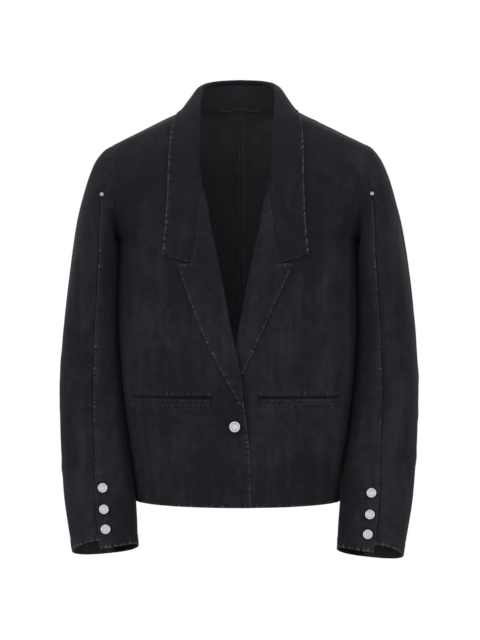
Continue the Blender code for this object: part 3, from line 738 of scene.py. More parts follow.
# Relief of the cloth, as lines seen square on: x and z on the front and the back, y and z on the
# outside of a sleeve. Each row, in millimetres: start, end, bow sideways, width, height. Left and right
# differ.
frontFolds = {
    "left": {"front": [
        (150, -300, 60, -415, 10, 16, 1.2), (172, -240, 120, -330, -8, 12, 1.4),
        (80, -500, 150, -560, 6, 14, 1), (30, -360, 60, -300, 4, 10, -0.8), (76, -548, 90, -546, 1, 3, 0.9),
        (78, -560, 88, -557, 0, 3, 0.8), (112, -556, 126, -559, 1, 3, 0.7),
        (160, -330, 168, -480, 4, 10, 1.3), (120, -120, 165, -190, 6, 14, -1.2),
        (20, -520, 35, -600, 3, 9, 0.8),
    ]},
    "right": {"front": [
        (160, -290, 70, -400, 8, 16, 1.2), (170, -232, 105, -320, -10, 12, 1.4),
        (60, -505, 140, -575, -6, 14, 1), (20, -350, 50, -290, 4, 10, -0.8),
        (139, -433, 150, -435, 1, 3, 1), (124, -519, 135, -521, 1, 3, 0.9), (90, -546, 98, -549, 0, 3, 0.9),
        (78, -560, 88, -564, 1, 3, 0.8), (30, -575, 42, -578, 1, 4, 0.8),
        (164, -340, 170, -500, -3, 10, 1.3), (115, -115, 160, -185, 6, 14, -1.2),
        (14, -500, 20, -590, -3, 8, 0.8),
    ]},
    "soft": 0.0009,
}
backFolds = {
    "left": {"back": [
        (150, -200, 50, -300, 12, 18, 1.6), (165, -300, 140, -520, 6, 14, 1.6),
        (40, -480, 120, -560, 8, 16, 1.2), (100, -80, 150, -160, 8, 16, -1.2),
        (60, -340, 90, -440, -6, 14, -1),
    ]},
    "right": {"back": [
        (155, -215, 60, -290, 10, 18, 1.5), (160, -320, 145, -540, -6, 14, 1.6),
        (30, -500, 110, -545, 6, 16, 1.2), (110, -85, 155, -170, 6, 16, -1.2),
        (50, -360, 100, -430, 6, 14, -1),
    ]},
    "soft": 0.0011,
}
sleeveFolds = {
    "left": {
        "front": [
            (233.5, -180, 237, -360, 2, 4, 1.6), (196.5, -158, 188, -178, 1, 3, -1.6),
            (200, -160, 212, -176, 1, 3, 1.2), (203, -230, 196, -400, 3, 6, 1.6),
            (190, -300, 215, -400, -4, 7, 1.8), (195, -440, 230, -400, 6, 8, 1.8),
            (200, -480, 235, -500, 4, 7, -1.2), (245, -420, 230, -560, 3, 7, 1.2),
            (185, -560, 180, -640, 2, 6, 1.2), (182, -585.5, 203, -583.5, 1, 3, 1.4),
            (188, -617, 201.3, -614.5, 1, 3, 1.2), (162, -671, 178, -676, 1, 3, 1.3),
        ],
        "outer": [
            (-30, -160, -20, -330, 6, 10, 1.8), (30, -170, 20, -300, -4, 10, 1.6),
            (-40, -420, 30, -455, 6, 12, 1), (-30, -480, 30, -500, -6, 9, 1.4),
            (-50, -540, 0, -590, 4, 8, 1.2),
        ],
        "back": [
            (205, -220, 215, -340, 4, 10, 1.8), (245, -300, 210, -420, -6, 9, 1.8),
            (250, -430, 200, -470, 5, 9, 1.8), (240, -500, 200, -520, -4, 8, -1.4),
        ],
    },
    "right": {
        "front": [
            (233.5, -190, 234.5, -410, -2, 4, 1.7), (204, -150, 195, -172, 2, 3.5, 1.4),
            (196, -170, 190, -190, 1, 3, -1.2), (195, -220, 192, -380, -3, 7, 1.8),
            (190, -310, 212, -420, -4, 7, 1.6), (193, -470, 228, -430, 6, 8, 1.8),
            (205, -500, 240, -530, 4, 7, -1.2), (242, -440, 228, -590, 3, 7, 1.2),
            (188, -540, 179, -630, 2, 6, 1.3), (217.4, -563.5, 205.9, -569.5, 1, 3, 1.5),
            (212.3, -557.6, 199.7, -568, -1, 3, -1.5), (212.3, -569.5, 197.4, -576.2, 1, 3, 1.5),
        ],
        "outer": [
            (-25, -150, -24, -350, 4, 10, 1.8), (35, -180, 16, -310, -4, 10, 1.6),
            (-40, -400, 30, -440, 6, 12, 1), (-30, -470, 30, -495, -6, 9, 1.4),
            (-60, -560, -10, -600, 4, 8, 1.2),
        ],
        "back": [
            (205, -230, 216, -350, -4, 10, 1.8), (243, -310, 208, -430, 6, 9, 1.8),
            (248, -450, 202, -480, 5, 9, 1.8), (242, -520, 200, -530, -4, 8, -1.4),
        ],
    },
    "soft": 0.0010,
}


def relief(points, normals, folds, side, seed):
    x, y, z = points[..., 0], points[..., 1], points[..., 2]
    views = {"front": (x, -normals[..., 1]), "back": (x, normals[..., 1]), "outer": (y, normals[..., 0])}
    total = folds["soft"] * drape(x + y * side, z, 0.050, 0.150, seed)
    total += folds["soft"] * 0.35 * drape(x - y, z, 0.018, 0.060, seed + 1)
    for view, rows in folds[sideName[side]].items():
        across, toward = views[view]
        total += ease((toward - 0.15) / 0.45) * creases(across, z, rows)
    return total


def dressed(points, away, folds, side, seed, fading):  # the grid moved out by its relief, and its normals
    normals = clothStep(points, away)
    lift = relief(points, normals, folds, side, seed) * fading
    moved = points + normals * lift[..., None]
    return moved, clothStep(moved, away), lift


def ridgeWearHollowShade(lift):  # ridges are washed paler by wear; hollows are painted darker, as shade in the dips of the cloth
    return np.where(lift > 0, 330, 150) * lift


bodyLook = {
    "hemDepth": 0.016,       # turned up inside the hem
    "hemExtra": 0.0007,      # how much thicker it makes the cloth
    "seamDip": 0.0008,       # a pressed seam lies this much lower
    "tuck": 0.0016,          # a seam edge runs on into the seam, so that no light comes through
    "hemPucker": 0.0011,
    "seamPucker": 0.0005,
    "puckerPitch": 0.0065,
    "pull": 0.0009,          # how far the button draws the cloth in
    "pullReach": 0.008,
    "rim": 0.0006,           # how far a free edge rounds out
    "rowHeight": 0.0465,     # of a row of the tables, by and large
    "across": {"front": 0.235, "back": 0.245},
    "pocketRows": (2.95, 4.35, 0.020),   # from, to, and how far apart
    "rightBackShade": 0.12,  # one half of the back is a little darker
    "wear": {"hem": 0.70, "front": 0.64, "seam": 0.28},
    "flat": {"front": (0.255, 0.66), "back": (0.265, 0.66)},
    "area": {"front": 0.135, "back": 0.149},
}
pocketLook = {
    "slitDepth": 0.0022,     # the cloth dips along the mouth, over the welt
    "slitWidth": 0.0013,
    "slitDown": 0.0050,      # from the top of the welt
    "slitShadowPaint": 0.0080,     # painted shadow in the mouth, darkest toward the front edge
    "ridgeUp": 0.0022,       # puckered line of stitching over the mouth
    "ridge": 0.0011,
    "under": 0.0010,         # ridge and groove below the welt
    "footDown": 0.0012,      # from the foot of the welt to the seam under it
    "overrun": 0.0040,       # the lines run on past the ends of the welt
    "wear": (0.52, 0.50),    # over the mouth and under the welt
}


def pocketSeams():  # heights of the seams over and under a pocket
    return welt["top"] + pocketLook["ridgeUp"], welt["top"] - welt["height"] - pocketLook["footDown"]


def pocketRelief(x, z, side):
    look = pocketLook
    ends = ease((x - welt["inner"] + look["overrun"]) / look["overrun"])
    ends = ends * ease((welt["outer"] + look["overrun"] - x) / look["overrun"])
    mouth, foot = welt["top"], welt["top"] - welt["height"]
    slit = bell(z - mouth + look["slitDown"], look["slitWidth"]) * (0.45 + 0.55 * ease((0.118 - x) / 0.05))
    total = -look["slitDepth"] * slit
    rough = 0.6 + 0.7 * wobble(x, 0.0048, 81 + side)
    total += look["ridge"] * rough * bell(z - mouth - look["ridgeUp"], 0.0022)
    rough = 0.7 + 0.5 * wobble(x, 0.005, 85 + side)
    total -= look["under"] * rough * bell(z - foot + look["footDown"], 0.0016)
    rough = 0.5 + 0.9 * wobble(x, 0.0055, 87 + side)
    total += look["under"] * rough * bell(z - foot + 0.0050, 0.0024)
    # the second value is the painted shadow of the pocket mouth
    return total * ends, look["slitShadowPaint"] * slit * ease(ends * 2 - 1)


def bodySide(part, side):
    # Finished face and normals of a front or back panel, how much thicker its hem is, and its relief.
    front, look = part == "front", bodyLook
    rows = spread(0, shoulderRow, cut["step"] / look["rowHeight"], rowEnds)
    if front:  # finer by the pocket
        rows = np.unique(np.round(np.concatenate([rows, np.arange(*look["pocketRows"])]), 4))
    u, row = np.meshgrid(evenTurns(look["across"][part], cut["step"]), rows)
    points = frontPanel(u, row, side < 0) if front else backPanel(u, row)
    away = fromAxis(points)
    across, along = runs(points, 1), runs(points, 0)
    rest = np.minimum(across[:, -1:] - across, along[-1:] - along)
    if not front:
        rest = np.minimum(rest, across)
    free = across if front else np.full(across.shape, 1.0)
    fading = ease(rest / 0.020) * ease(free / 0.012 + 0.35)
    if front:  # flat under its lapel
        inside = lapelEdgeX(points[..., 2], side) + 0.006 - points[..., 0]
        fading = fading * (1 - ease(inside / 0.008) * ease((lapelPeak[1] + 0.01 - points[..., 2]) / 0.01))
    folds, seed = (frontFolds, 11) if front else (backFolds, 31)
    moved, normals, lift = dressed(points, away, folds, side, seed, fading)
    thicker = look["hemExtra"] * ease((look["hemDepth"] - along) / 0.002)
    hem = look["hemPucker"] * wobble(across, look["puckerPitch"], 40 + side) * bell(along - 0.004, 0.008)
    hem += thicker
    hem *= ease(across / 0.006) * ease((across[:, -1:] - across) / 0.006)
    byArmhole = ease((row - underarmRow + 0.5) / 0.5) * ease((across - 0.03) / 0.02)
    gather = look["seamPucker"] * wobble(along, 0.009, 50 + side) * bell(rest - 0.006, 0.006)
    dip = -look["seamDip"] * bell(rest, 0.0022) * (1 - 0.75 * byArmhole)
    if front:
        # the pocket's dips are painted darker, and its mouth gets a painted shadow
        pressed, dark = pocketRelief(points[..., 0], points[..., 2], side)
        dip, lift = dip + pressed, lift + pressed * 1.3 - dark
        drawn = pulls(points, frontButtonSpot(side < 0), look["pullReach"], look["pull"] if side < 0 else 0)
        dip, lift = dip + drawn, lift + drawn
    moved = moved + normals * (hem + gather + dip)[..., None]
    normals = clothStep(moved, away)
    normals[:, -1, 1] = 0
    if not front:
        normals[:, 0, 0] = 0
    return moved, unit(normals), thicker, lift


def pocketLines(side):  # worn lines over and under a pocket, on the front panel
    lines = []
    for z, power in zip(pocketSeams(), pocketLook["wear"]):
        x = np.linspace(welt["inner"] - 0.002, welt["outer"] + 0.004, 60)
        z = z + 0.0007 * wobble(x, 0.030, 95 + side)
        lines.append((frontFace(x, frontRowAt(x, z), side < 0), power))
    return lines


def buildBody(material):
    surfaces = {}
    for side in (1, -1):
        for part in ("back", "front"):
            face, normals, thicker, lift = bodySide(part, side)
            surfaces[part, side] = face
            wear, front = bodyLook["wear"], part == "front"
            lines = [(face[0], wear["hem"]), (face[:, -1], wear["seam"]), (face[-1], wear["seam"]),
                     (face[:, 0], wear["front" if front else "seam"])]
            rims = {"bottom": bodyLook["rim"], "end": bodyLook["tuck"]}
            if front:
                rims["start"] = bodyLook["rim"]
                lines += pocketLines(side)
            fade = ridgeWearHollowShade(lift) - bodyLook["rightBackShade"] * (not front and side < 0)
            piece = shell(f"{part}_panel_{sideName[side]}", face, normals, cut["wall"], material, side,
                          rims=rims, thicker=thicker, fade=fade, lines=lines)
            declare(piece, f"{part}_{sideName[side]}", bodyLook["flat"][part], bodyLook["area"][part])
    print("body panels made")
    return surfaces


cuffRivetRow = 2.15
sleeveLook = {
    "pressed": {"left": (0.0062, 0.0003), "right": (0.0078, -0.0028)},   # how far in toward the body, and out
    "narrowCuff": 0.0026,
    "step": 0.0027,
    "rowHeight": 0.0535,
    "across": {"outer": 0.205, "inner": 0.200},
    "pullReach": 0.0075,
    "pull": 0.0011,
    "hemDepth": 0.018,
    "hemExtra": 0.0006,
    "hemPucker": 0.0009,
    "headPucker": 0.0010,    # ease gathered into the armhole
    "paintedInsideShade": 0.70,             # painted shade: how much darker the inside faces are
    "shade": 0.10,           # how much paler the outside is
    "bodyShadowPaint": 0.55,       # and how much painted shadow darkens it by the body
    "rim": 0.0005,
    "lapRows": 0.8,          # the lap grows over this many rows from its rivet
    "short": 1.4,            # degrees before the seam where the outer panel starts to dip under it
    "lapRamp": 3.1,          # and how many more where it is lapped
    "seamBand": 5,           # degrees before the seam where the outer panel is flat
    "ventRows": 2.2,         # from the cuff up
    "ventReach": {"inner": 90, "outer": 75},   # degrees from the seam
    "lapRidge": 0.0007,      # the lapped seam stands up in a soft ridge
    "lapPale": 0.0009,
    "lapWorn": (0.20, 0.72), # from and to these shares of the rows, and faintly on to the cuff
    "lapFaint": 0.4,
    "wear": {"lap": 0.85, "cuff": 0.95, "head": 0.22, "back": 0.30},
    "flat": (0.26, 0.66),
    "area": {"outer": 0.123, "inner": 0.078},
}


def sleeveMiddle(row):
    return stack(*several(sleeveRows, "midX midY z", np.maximum(row - headCount, 0)))


def hangSleeve(points, row, side):
    # It rests against the body. The left one is fuller outside and hangs a little lower.
    middle, halfWidth = several(sleeveRows, "midX halfWidth", np.maximum(row - headCount, 0))
    share = (points[..., 0] - middle) / halfWidth
    inner, outer = sleeveLook["pressed"][sideName[side]]
    hanging = ease((row - headCount) / (sleeveCount - headCount))
    across = (outer - (outer + inner) * ease(0.5 - share / 2)) * ease(row / headCount - 0.2)
    across = across - sleeveLook["narrowCuff"] * share * ease((row - headCount) / 2.2 - 2.6)
    return points + stack(across, 0, -(side > 0) * cut["leftSleeveExtra"] * hanging)


def sleeveGrid(angle, row, under, side):  # points at angles round the sleeve, moved in by under
    points = sleevePoint(angle, row)
    away = points - sleeveMiddle(row)
    points = points - clothStep(points, away) * under[..., None]
    return hangSleeve(points, row, side), away


def sleevePlaces(turns):
    rows = spread(0, sleeveCount, sleeveLook["step"] / sleeveLook["rowHeight"], rowEnds)
    return np.meshgrid(rows, turns, indexing="ij")


def sleeveSide(part, side):
    # Outer: from the back seam round the outside to the front seam and on under the lap.
    # Inner: from the front seam, on top of the lap, round by the body to the back seam.
    lap, inner, look = cut["lapAngle"], part == "inner", sleeveLook
    share = evenTurns(look["across"][part], look["step"])
    if not inner:
        share = np.concatenate([share, 1 + np.array([0.2, 0.4, 0.6, 0.8, 1.0])])
    row, place = sleevePlaces(share)
    seam, lapped = seamAngle(row), ease((row - cuffRivetRow) / look["lapRows"])
    if inner:
        angle = seam + (cut["backSeam"] - seam) * place
        under = np.zeros_like(angle)
    else:
        short, start = look["short"], cut["backSeam"] - 360
        beyond = seam - short + (lap + short) * (place - 1)
        angle = np.where(place <= 1, start + (seam - short - start) * place, beyond)
        ramp = short + look["lapRamp"] * lapped
        under = (cut["wall"] + 2 * cut["seamGap"]) * ease((angle - seam + ramp) / ramp)
    points, away = sleeveGrid(angle, row, under, side)
    reach, high = look["ventReach"][part], look["ventRows"]
    drop = cut["ventDrop"] if inner else -cut["ventRise"]
    corner = ease(1 - np.abs(angle - seam) / reach) * ease((row - sleeveCount + high) / high)
    down = unit(sleeveMiddle(np.array(sleeveCount * 1.0)) - sleeveMiddle(np.array(sleeveCount - 1.0)))
    points = points + down * (drop * corner)[..., None]
    across, along = runs(points, 1), runs(points, 0)
    cuff, head = along[-1:] - along, along
    fromBack = (across[:, -1:] - across) if inner else across
    fading = ease(head / 0.020) * ease(cuff / 0.014 + 0.2) * ease(fromBack / 0.015)
    before = seam - look["seamBand"] - angle
    fading = fading * (ease(across / 0.008 + 0.35) if inner else ease(before / 10))
    fading = fading * ease((points[..., 0] - sleeveMiddle(row)[..., 0] + 0.030) / 0.02)  # flat by the body
    moved, normals, lift = dressed(points, away, sleeveFolds, side, 90 if inner else 70, fading)
    extra = look["hemExtra"] * ease((look["hemDepth"] - cuff) / 0.002)
    pucker = look["hemPucker"] * wobble(across, bodyLook["puckerPitch"], 60 + side)
    bump = extra + pucker * bell(cuff - 0.004, 0.008)
    bump += look["headPucker"] * wobble(across, 0.010, 62 + side) * bell(head - 0.010, 0.010)
    spots = [onSleeve(cuffRivetRow, 0.0, side)[0]]
    if inner:
        ridge = bell(across - 0.006, 0.0045) * (0.7 + 0.5 * wobble(along, 0.012, 64 + side))
        ridge *= lapped
        bump += look["lapRidge"] * ridge
        lift = lift + look["lapPale"] * ridge
        spots += [spot for spot, _ in cuffSpots(side)]
    drawn = pulls(points, spots, look["pullReach"], look["pull"]) * ease(across / 0.006 + 0.2)
    bump, lift = bump + drawn, lift + drawn
    bump *= ease(fromBack / 0.004) * (1 if inner else ease(before / 6))
    moved = moved + normals * bump[..., None]
    return moved, clothStep(moved, away), extra, lift


def cuffSpots(side):  # where the cuff's buttons sit, and which way they face
    lower = leftButtonsLower if side > 0 else 0
    return [onSleeve(headCount + row + lower, inset, side) for row, inset in zip(*cuffButtons.values())]


def onSleeve(row, inset, side):
    radius = read(sleeveRows, "halfWidth", row - headCount)
    angle = seamAngle(row) + math.degrees(inset / (1.1 * float(radius)))
    angle, row = np.array([[float(angle)]]), np.array([[float(row)]])
    spot = sleevePoint(angle, row)
    across = sleevePoint(angle + 2, row) - sleevePoint(angle - 2, row)
    along = sleevePoint(angle, row + 0.05) - sleevePoint(angle, row - 0.05)
    normal = unit(np.cross(across, along))
    normal *= np.sign((normal * (spot - sleeveMiddle(row))).sum())
    spot = hangSleeve(spot, row, side)
    return spot[0, 0], normal[0, 0]


def paintedShadowByBody(face, part):  # 1 where the sleeve rests against the body, where painted shadow darkens it
    if part == "outer":
        return 0
    across = runs(face, 1)
    return ease((across / across[:, -1:] - 0.12) / 0.35)


def buildSleeves(material):
    for side in (1, -1):
        for part in ("outer", "inner"):
            face, normals, thicker, lift = sleeveSide(part, side)
            wear, inner = sleeveLook["wear"], part == "inner"
            lines = [(face[0], wear["head"]), (face[-1], wear["cuff"]),
                     (face[:, -1 if inner else 0], wear["back"])]
            if inner:
                first, last = (int(face.shape[0] * share) for share in sleeveLook["lapWorn"])
                lines += [(face[first:last, 0], wear["lap"]),
                          (face[first:, 0], wear["lap"] * sleeveLook["lapFaint"])]
            # the sleeve's shade value: paler overall, with painted shadow where it rests against the body
            shade = sleeveLook["shade"] - sleeveLook["bodyShadowPaint"] * paintedShadowByBody(face, part)
            piece = shell(f"sleeve_{part}_panel_{sideName[side]}", face, normals, cut["wall"], material, side,
                          rims={"top": sleeveLook["rim"], "bottom": 2 * bodyLook["tuck"]}, thicker=thicker,
                          fade=ridgeWearHollowShade(lift) + shade, lines=lines, paintedInsideShade=sleeveLook["paintedInsideShade"])
            declare(piece, f"sleeve_{part}_{sideName[side]}", sleeveLook["flat"], sleeveLook["area"][part])
    print("sleeves made")


leafLook = {
    "puff": 0.0016,          # how far a lapel rounds out between its roll and its edge
    "collarPuff": 0.0030,
    "collarLift": 0.0039,
    "crest": 0.40,           # how much closer it lies where it crosses the shoulder seam
    "crestRow": 3.8,
    "drape": {"collar": 0.0006, "lapel": 0.0007},     # height of the soft unevenness
    "deepest": {"collar": -0.0006, "lapel": -0.0005}, # no hollow goes below this
    "edgePucker": 0.0008,
    "standShade": -0.78,
    "collarShade": -0.18,
    "under": (0.0006, 0.0032),   # the edge that carries the leaf: out from the fold line, and down
    "ontoPanel": (6.7, 1.2), # collar row where that edge leaves the stand for the front, and over how many
    "tuckEnds": (6.4, 1.2),  # where the leaf stops reaching down behind it
    "foldEnd": 9.0,          # where the fold has died out
    "standEnd": 7.0,         # where the stand has run out
    "tape": {"down": 0.0010, "level": 0.0042, "in": 0.0004, "centreDown": 0.0090, "centreIn": 0.0030},
    "head": 9.15,            # row under the collar where the lapel ends
    "foot": 2.24,            # front row where the lapel has run out into the front edge
    "growth": 0.55,          # rows over which its roll and its lift grow from there
    "footLift": 0.0007,      # off the panel at its foot
    "roll": 0.0022,          # from the panel's edge to where the lapel lies flat
    "lapelFolds": {
        "left": [
            (20, -300, 60, -330, 4, 10, 1), (12, -400, 30, -350, 3, 8, 0.8),
        ],
        "right": [
            (25, -310, 66, -300, -4, 10, 1), (10, -380, 34, -360, 3, 8, 0.8),
        ],
    },
    "lapelShade": 0.12,
    "reliefWearAndShade": 120,        # how much paler a metre of relief is: ridges washed paler by wear, hollows darker as painted shade
    "step": 0.056,           # of the lapel, in rows
    "rims": {"end": 0.0008, "start": 0.0006},
    "lapelRim": 0.0007,
    "wear": {"stand": 0.80, "collar": 0.90, "lapel": 0.66, "gorge": 0.30, "roll": 0.08},
    "flat": {"stand": (0.40, 0.05), "collar": (0.78, 0.10), "lapel": (0.33, 0.11)},
    "area": {"stand": 0.0115, "collar": 0.052, "lapel": 0.0125},
}


def finer(values, times):  # more places between the given ones
    values, last = np.asarray(values, float), len(values) - 1
    return np.interp(np.linspace(0, last, last * times + 1), np.arange(last + 1), values)


def grows(at, start, over):  # from 0 to 1 along the rows, to scale the points of each
    return ease((at - start) / over)[:, None]


def collarStep(at):
    ends = [stack(*several(collarRows, "x y z", at + step)) for step in (0.05, -0.05)]
    return unit(ends[0] - ends[1])


def panelEdge(row, lapped):  # a front's inner edge, its outward normal, and on beyond the panel
    at = read(frontRows, "cut", row)
    edge = frontFace(at, row, lapped)
    beyond = unit(edge - frontFace(at + 0.004, row, lapped))
    normal = unit(np.cross(beyond, np.gradient(edge, axis=0)))
    return edge, normal * np.where(normal[..., 1:2] > 0, -1, 1), beyond


def wrapOver(edge, inward, beyond, tuck=1.0, times=2):  # folds a leaf over the edge that carries it
    rows = [finer(foldRows[key], times) for key in ("inward", "beyond")]
    ahead = [b * tuck - 0.0004 * (1 - tuck) if k < times else b for k, b in enumerate(rows[1])]
    return np.stack([edge + inward * a + beyond * b for a, b in zip(rows[0], ahead)])


def collarEdges(at):
    *fold, neckRow, outX, outRow = several(collarRows, "x y z neckRow outX outRow", at)
    fold, behind = stack(*fold), neckCut(2 * shoulderRow - neckRow)
    neckX = np.where(neckRow <= shoulderRow, read(frontRows, "cut", neckRow), behind)
    neck = roundPoint(neckX, neckRow)
    ahead = collarStep(at)
    up = unit(fold - neck)
    inward = unit(np.cross(up, ahead))
    inward *= np.sign((inward * (-fold * (1, 1, 0))).sum(axis=-1, keepdims=True))
    up = unit(np.cross(ahead, inward))
    up *= np.sign(((fold - neck) * up).sum(axis=-1, keepdims=True) + 1e-9)
    carried = fold - inward * leafLook["under"][0] - up * leafLook["under"][1]
    edge, normal, beyond = panelEdge(np.minimum(neckRow, shoulderRow - 1), 0)
    panel = grows(at, *leafLook["ontoPanel"])
    carried = carried + (edge - carried) * panel
    inward, up = unit(inward - (inward + normal) * panel), unit(up + (beyond - up) * panel)
    return fold, carried, inward, up, neck, roundPoint(outX, outRow)


def standGrid(at, across):
    _, carried, inward, _, neck, _ = collarEdges(at)
    tape = leafLook["tape"]
    low = ease(1 - at / 3.4)[:, None]  # its tape covers the neck seam, deepest at the centre
    down = tape["down"] + tape["centreDown"] * low + tape["level"] * bell(at, 0.95)[:, None]
    bottom = neck - unit(carried - neck) * down + inward * (tape["in"] + tape["centreIn"] * low)
    share = np.linspace(0, 1, across)[:, None, None]
    points = (bottom + (carried - bottom) * share).swapaxes(0, 1)
    return mirrored(points)


def skinOf(grids):  # outer faces to lay a piece on
    points, faces = [], []
    for part in grids:
        rows, columns = part.shape[:2]
        corners = len(points) + np.arange(rows * columns).reshape(rows, columns)
        points += part.reshape(-1, 3).tolist()
        ring = [corners[:-1, :-1], corners[1:, :-1], corners[1:, 1:], corners[:-1, 1:]]
        faces += np.stack(ring, -1).reshape(-1, 4).tolist()
    return BVHTree.FromPolygons(points, faces)


def layOn(skin, points, lift):  # moves what is too near the skin, or behind it, out to its row's distance
    moved = points.copy()
    for index in np.ndindex(points.shape[:2]):
        for _ in range(3):
            spot, normal, _, _ = skin.find_nearest(Vector(moved[index]))
            spot, normal = np.array(spot), np.array(normal)
            normal *= np.sign(normal @ (spot * (1, 1, 0) + (0, 0, 0.05))) or 1
            offset = moved[index] - spot
            height = offset @ normal
            if height < lift[index[0]] and np.linalg.norm(offset - height * normal) < 0.006:
                moved[index] += normal * (lift[index[0]] - height)
            else:
                break
    return moved


def mirrored(half):  # a grid whose first row is the centre back, with its other half
    return np.concatenate([half[:0:-1] * (-1, 1, 1), half])


def leafGrid(stations, skin):  # from the neck's edge over the fold and down, laid on the skin
    standEnd = leafLook["standEnd"]
    low = finer([standEnd, 8.1, 8.5, 8.8, 9.1, 9.6, 10.2, 10.8, 11.4, 12], 7)[1:]
    at = np.sort(np.concatenate([stations, low, [11.97, 11.99]]))  # close rows by the front corner
    down = int((at <= standEnd).sum())
    fold, carried, inward, up, _, outer = collarEdges(at)
    folding = ease((leafLook["foldEnd"] - at) / 0.5)[:, None]
    wrap = wrapOver(carried, inward, up, 1 - grows(at, *leafLook["tuckEnds"]))
    share = spread(0, 1, 0.055, (0.012, 0.03))[1:, None, None]
    puff = inward * leafLook["collarPuff"] * np.sin(np.pi * np.sqrt(share))
    leaf = wrap[-1] + (outer - wrap[-1]) * share - puff
    share = np.concatenate([np.linspace(0, 0.1, len(wrap))[:, None], 0.1 + 0.9 * share[..., 0] ** 1.1])
    x = fold[:, 0] + (outer[:, 0] - fold[:, 0]) * share
    row = frontRowAt(x, fold[:, 2] + (outer[:, 2] - fold[:, 2]) * share)
    flat = bodyPoint(frontRows, x, row)
    flat[:, down:] += facing(flat[:, down:]) * leafLook["collarLift"]
    points = (np.concatenate([wrap, leaf]) * folding + flat * (1 - folding)).swapaxes(0, 1)
    crest = 1 - leafLook["crest"] * bell(at - leafLook["crestRow"], 1.0)
    laid = layOn(skin, points, leafLook["collarLift"] * crest)
    for _ in range(3):
        laid[1:-1] = (laid[:-2] + 2 * laid[1:-1] + laid[2:]) / 4
    folded = np.zeros(points.shape[:2], bool)
    folded[:, :len(wrap)] = folding > 0.5
    return mirrored(np.where(folded[..., None], points, laid))


def buildCollar(material, surfaces):
    stations = finer([0, 0.8, 1.6, 2.4, 3, 3.5, 4, 4.5, 5, 5.5, 6, 6.5, leafLook["standEnd"]], 4)
    stand = standGrid(stations, 9)
    shade = np.full(stand.shape[:2], leafLook["standShade"])
    piece = shell("collar_stand_band", stand, facing(stand), cut["wall"], material,
                  wear={"start": leafLook["wear"]["stand"]}, fade=shade)
    declare(piece, "collar_stand", leafLook["flat"]["stand"], leafLook["area"]["stand"])

    whole = leafGrid(stations, skinOf([surfaces[key] * (key[1], 1, 1) for key in surfaces] + [stand]))
    normals = facing(whole)
    across, along = runs(whole, 1), runs(whole, 0)
    rest = across[:, -1:] - across
    lift = leafLook["edgePucker"] * wobble(along, 0.0060, 5) * bell(rest - 0.004, 0.006)
    soft = leafLook["drape"]["collar"] * (drape(along, across, 0.035, 0.030, 6) + 0.6)
    lift += soft * ease(rest / 0.01) * ease(across / 0.03)
    lift *= ease(across / 0.016)
    whole = whole + normals * np.maximum(lift, leafLook["deepest"]["collar"])[..., None]
    wear = leafLook["wear"]
    piece = shell("collar_leaf", whole, facing(whole), cut["leafWall"], material,
                  wear={"end": wear["collar"], "bottom": wear["gorge"], "top": wear["gorge"]},
                  rims=leafLook["rims"], fade=lift * leafLook["reliefWearAndShade"] + leafLook["collarShade"])
    declare(piece, "collar", leafLook["flat"]["collar"], leafLook["area"]["collar"])
    print("collar made")
    return whole


def gorgeX(z):  # how far out the gorge seam is at a height
    at = np.linspace(len(collarRows["x"]) - 1, 9, 61)
    return np.interp(z, read(collarRows, "z", at), read(collarRows, "x", at))


def lapelEdgeX(z, side):
    share = (z - lapelFoot[1]) / (lapelPeak[1] - lapelFoot[1])
    bow = lapelBelly[side] * np.sin(np.pi * np.clip(share, 0, 1))
    return lapelFoot[0] + (lapelPeak[0] - lapelFoot[0]) * share + bow


def lapelSpans(row, upper, side):
    # x of the panel's edge, of the column that ends at the gorge, and of the outer edge.
    edge = read(frontRows, "cut", row)
    z = bodyPoint(frontRows, np.maximum(lapelEdgeX(read(frontRows, "midZ", row), side), 0.0), row)[..., 2]
    outer = lapelEdgeX(z, side)
    atNotch = read(frontRows, "cut", notchRow)
    ratio = (lapelTop[0] - 0.0018 - atNotch) / (lapelPeak[0] - atNotch)
    gorge = gorgeX(bodyPoint(frontRows, 0.056, row)[..., 2]) - 0.0004
    least = 0.0006 + 0.0029 * ease((row - leafLook["foot"]) / 0.45)
    middle = np.maximum(np.where(upper, gorge, edge + (outer - edge) * ratio), edge + least)
    return edge, middle, np.maximum(outer, middle + least / 2)


def lapelGrid(side):
    foot, head, step = leafLook["foot"], leafLook["head"], leafLook["step"]
    above = np.arange(notchRow + 0.05, head, step)
    rows = np.concatenate([spread(foot, notchRow, step, rowEnds), above, [head]])
    cutX, middle, outer = lapelSpans(rows, rows > notchRow, side)
    edge, normal, beyond = panelEdge(rows, side < 0)
    grown = grows(rows, foot, leafLook["growth"])
    wrap = wrapOver(edge, -normal, beyond)
    columns = list(edge + (wrap - edge) * (0.12 + 0.88 * grown))
    start, low = cutX + leafLook["roll"] * grown[:, 0], leafLook["footLift"]
    inner, rest = np.linspace(0, 1, 15)[1:], np.append(np.linspace(0, 1, 15)[1:-1], [0.975, 1.0])
    spots = [(start + (middle - start) * share, share * 0.5) for share in inner]
    spots += [(middle + (outer - middle) * share, 0.5 + share / 2) for share in rest]
    for x, share in spots:
        flat = frontFace(x, rows, side < 0)
        around = np.stack([frontFace(x - 1e-3, rows, side < 0), flat, frontFace(x + 1e-3, rows, side < 0)])
        out = facing(around)[1]
        lift = cut["leafLift"] + leafLook["puff"] * math.sin(math.pi * min(share + 0.12, 1.0))
        columns.append(flat + out * (low + (lift - low) * grown))
    points = np.stack(columns)
    cells = np.ones((points.shape[0] - 1, points.shape[1] - 1), bool)
    cells[len(columns) - len(rest) - 1:, rows[:-1] >= notchRow - 1e-6] = False
    return points, cells, rows, len(columns) - len(rest) - 1


